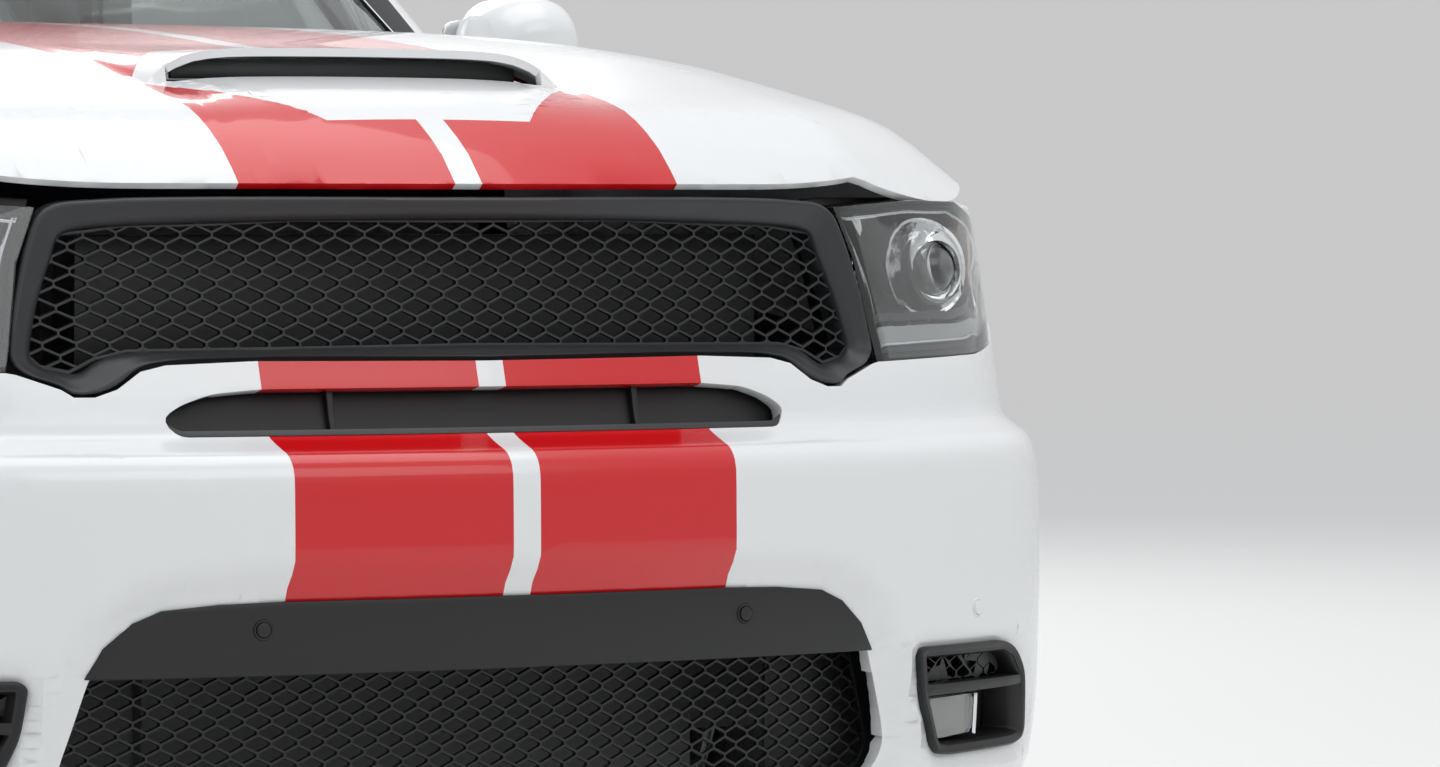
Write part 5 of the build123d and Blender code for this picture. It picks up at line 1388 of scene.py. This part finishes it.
# ---- Door handles, mirrors and air guides ----
# Moulded pull handles over shallow cups, silvered glass and an amber lamp in each mirror housing, and
# plastic air guides beside the radiator.
def rounded_block(name, size, place, material, body, power=5.0, cuts=10, turn=None):
    """Block with full soft corners, as moulded handles and knobs have."""
    shape = bmesh.new()
    bmesh.ops.create_cube(shape, size=2.0)
    bmesh.ops.subdivide_edges(shape, edges=shape.edges[:], cuts=cuts, use_grid_fill=True)
    for corner in shape.verts:
        reach = sum(abs(c) ** power for c in corner.co) ** (1 / power)
        point = Vector([c / reach * s / 2 for c, s in zip(corner.co, size)])
        corner.co = ((turn @ point if turn else point) + Vector(place)) * MM
    return finished(new_object(name, shape, material, body), 60)


def tube(name, points, radius, material, body, steps=12):
    """Round bar along a smooth curve through points, closed at its ends."""
    line = softened(points, 14.0, closed=False)
    rings = []
    for i, point in enumerate(line):
        ahead = (line[min(i + 1, len(line) - 1)] - line[max(i - 1, 0)]).normalized()
        across = ahead.cross(Vector((0.13, 0.21, 1.0))).normalized()
        over = ahead.cross(across)
        size = radius * (0.5 if i in (0, len(line) - 1) else 1.0)
        rings.append([
            point + across * size * math.cos(2 * math.pi * k / steps)
            + over * size * math.sin(2 * math.pi * k / steps)
            for k in range(steps)
        ])
    shape = ring_form(rings)
    ends = [edge for edge in shape.edges if len(edge.link_faces) == 1]
    bmesh.ops.edgenet_fill(shape, edges=ends)
    bmesh.ops.recalc_face_normals(shape, faces=shape.faces[:])
    return finished(new_object(name, shape, material, body), 50)


HANDLE_Z, MIRROR_X = 988.0, 862.0
mirror_glass = finish("mirror_glass", (0.62, 0.64, 0.66), 0.03, metallic=1.0, spread=0.02)
for side, side_name in ((1, "left"), (-1, "right")):
    for door, x in (("front", 205.0), ("rear", -760.0)):
        z = HANDLE_Z
        body = "door_" + door + "_" + side_name
        out = half_at(z) - 2
        rounded_block(
            "handle_" + door + "_" + side_name, (190, 20, 30), (x, side * (out + 24), z), white_paint, body,
            4.0, 14,
        )
        for foot, foot_x in (("front", x + 74), ("rear", x - 74)):
            rounded_block(
                "handle_foot_%s_%s_%s" % (foot, door, side_name), (34, 36, 26), (foot_x, side * (out + 9), z),
                white_paint, body, 4.0, 8,
            )
        rounded_block(
            "handle_cup_" + door + "_" + side_name, (118, 6, 46), (x, side * (out + 0.5), z), satin_black,
            body,
            3.0, 12,
        )
    rounded_block(
        "mirror_glass_" + side_name, (8, 128, 108), (MIRROR_X - 84, side * 1006, 1180), mirror_glass,
        "door_front_" + side_name, 5.0, 14,
    )
    rounded_block(
        "mirror_lamp_" + side_name, (10, 60, 9), (MIRROR_X + 82, side * 1040, 1166), amber,
        "door_front_" + side_name, 4.0,
        8,
    )
    rounded_block(
        "air_guide_" + side_name, (6, 170, 176), (2395, side * 520, 374), satin_black, "body",
        9.0, 8,
    )

# ---- Wipers ----
# Two painted steel arms with rubber blades, parked along the foot of the windscreen.
def screen_point(y, z, out=12.0):
    """Point just ahead of the windscreen."""
    rows = [(1130, 1225), (1410, 868), (1640, 560), (1700, 470)]
    for (low, first), (high, second) in zip(rows, rows[1:]):
        if z <= high:
            x = first + (second - first) * (z - low) / (high - low)
            break
    return Vector((x - (1700 - math.sqrt(1700**2 - y * y)) + out * 0.62, y, z + out * 0.78))


for number, (pivot, tip) in enumerate(
    (((520.0, 1142.0), (-60.0, 1178.0)), ((-40.0, 1142.0), (-600.0, 1176.0)))
):
    start, end = screen_point(*pivot, 16.0), screen_point(*tip, 16.0)
    middle = screen_point((pivot[0] + tip[0]) / 2, (pivot[1] + tip[1]) / 2 + 4, 22.0)
    tube("wiper_arm_%d" % number, [start, middle, end], 5.0, satin_black, "body")
    blade = [screen_point(tip[0] + 40 * k - 60, tip[1] + 7 - 1.5 * k, 11.0) for k in range(-5, 12)]
    tube("wiper_blade_%d" % number, blade, 4.0, satin_black, "body")

# ---- Tail details ----
# Blank plate in a dark recess, a painted grip bar, a plastic rear wiper, a high brake lamp, bright pipe
# ends and red reflectors in the bumper.
def tail_skin(y, z, out=0.0):
    """Point of the tailgate's surface."""
    tail = section_at(BODY_ROWS, z)[1]
    return Vector((TAIL + tail + 3500 - math.sqrt(3500**2 - y * y) - out, y, z))


def tail_inlay(name, outline, out, wall, material, body, edge=0.0015):
    """Plate that follows the tailgate."""
    net = flat_panel([divided(outline, 10)], spaced(-900, 900, 30), spaced(500, 1100, 20))
    shape = mapped(net, lambda y, z: tail_skin(y, z, out))
    bmesh.ops.reverse_faces(shape, faces=shape.faces[:])
    piece = new_object(name, shape, material, body)
    return walled(piece, wall * MM, edge, 3)


blank = finish("blank_plate", (0.62, 0.62, 0.60), 0.4, coat=0.3, grain=600.0, bump=0.15)
tail_inlay(
    "plate_recess", rounded([(-280, 762), (280, 762), (268, 908), (-268, 908)], 22, 8), 1.5, 4, satin_black,
    "liftgate",
)
tail_inlay(
    "blank_plate", rounded([(-155, 772), (155, 772), (155, 898), (-155, 898)], 10, 6), 5.5, 3, blank,
    "liftgate"
)
tail_inlay(
    "gate_grip", rounded([(-250, 912), (250, 912), (256, 930), (-256, 930)], 8, 6), 12, 14, white_paint,
    "liftgate", 0.004,
)
tube(
    "rear_wiper", [(-2370, 20, 1200), (-2392, 150, 1204), (-2378, 300, 1212), (-2362, 430, 1220)], 6.0,
    satin_black, "liftgate",
)
rounded_block(
    "high_brake_lamp", (26, 320, 16), (-2088, 0, 1716), lamp_red, "liftgate", 6.0, 12,
)
TIP = [(43.5, -6), (46, -10), (46, 40), (44.5, 44), (41.5, 44), (40, 40), (40, -70), (0, -70)]
for side, side_name in ((1, "left"), (-1, "right")):
    along = Vector((-315, side * 114, -48)).normalized()
    tip = turned(TIP, Vector((-2505, side * 570, 372)) - along * 34, along, 56)
    finished(new_object("exhaust_tip_" + side_name, tip, chrome, "body"), 40)
    rounded_block(
        "rear_reflector_" + side_name, (12, 150, 34), (-2484, side * 690, 470), lamp_red, "body",
        6.0, 12,
        Matrix.Rotation(side * math.radians(-11.4), 3, "Z"),
    )

# ---- Dashboard and controls ----
# A glass screen, plastic vents with slats, two dials under a hood, and the gear selector with its leather
# knob on the console.
screen_glass = finish("screen_glass", (0.008, 0.009, 0.011), 0.1, coat=0.6, spread=0.04)
rounded_block("centre_screen", (14, 232, 140), (738, 0, 1000), screen_glass, "body", 9.0, 14,
              Matrix.Rotation(math.radians(-14), 3, "Y"))
for number, y in enumerate((-690, -168, 168, 690)):
    rounded_block(
        "vent_%d" % number, (16, 96, 66), (742, y, 1010), satin_black, "body", 8.0, 12
    )
    for slat in range(4):
        rounded_block(
            "vent_%d_slat_%d" % (number, slat), (12, 84, 4), (732, y, 990 + slat * 13), grey_plastic, "body",
            6.0, 6, Matrix.Rotation(math.radians(12), 3, "Y"),
        )
rounded_block("dial_hood", (150, 330, 60), (790, 370, 1085), dash_skin, "body", 4.0, 16)
for number, y in enumerate((300, 440)):
    dial = turned([(0, 0), (48, 0), (52, 3), (56, 3), (58, -4)], (736, y, 1040), (-1, 0, 0.22), 48)
    finished(new_object("dial_%d" % number, dial, screen_glass, "body"), 40)
rounded_block("selector_plate", (190, 120, 8), (420, 0, 702), gloss_black, "body", 6.0, 12)
tube("selector_stem", [(410, 0, 698), (406, 0, 740), (400, 0, 780)], 9.0, chrome, "body")
rounded_block("selector_knob", (56, 46, 66), (398, 0, 800), seat_leather, "body", 3.0, 12)
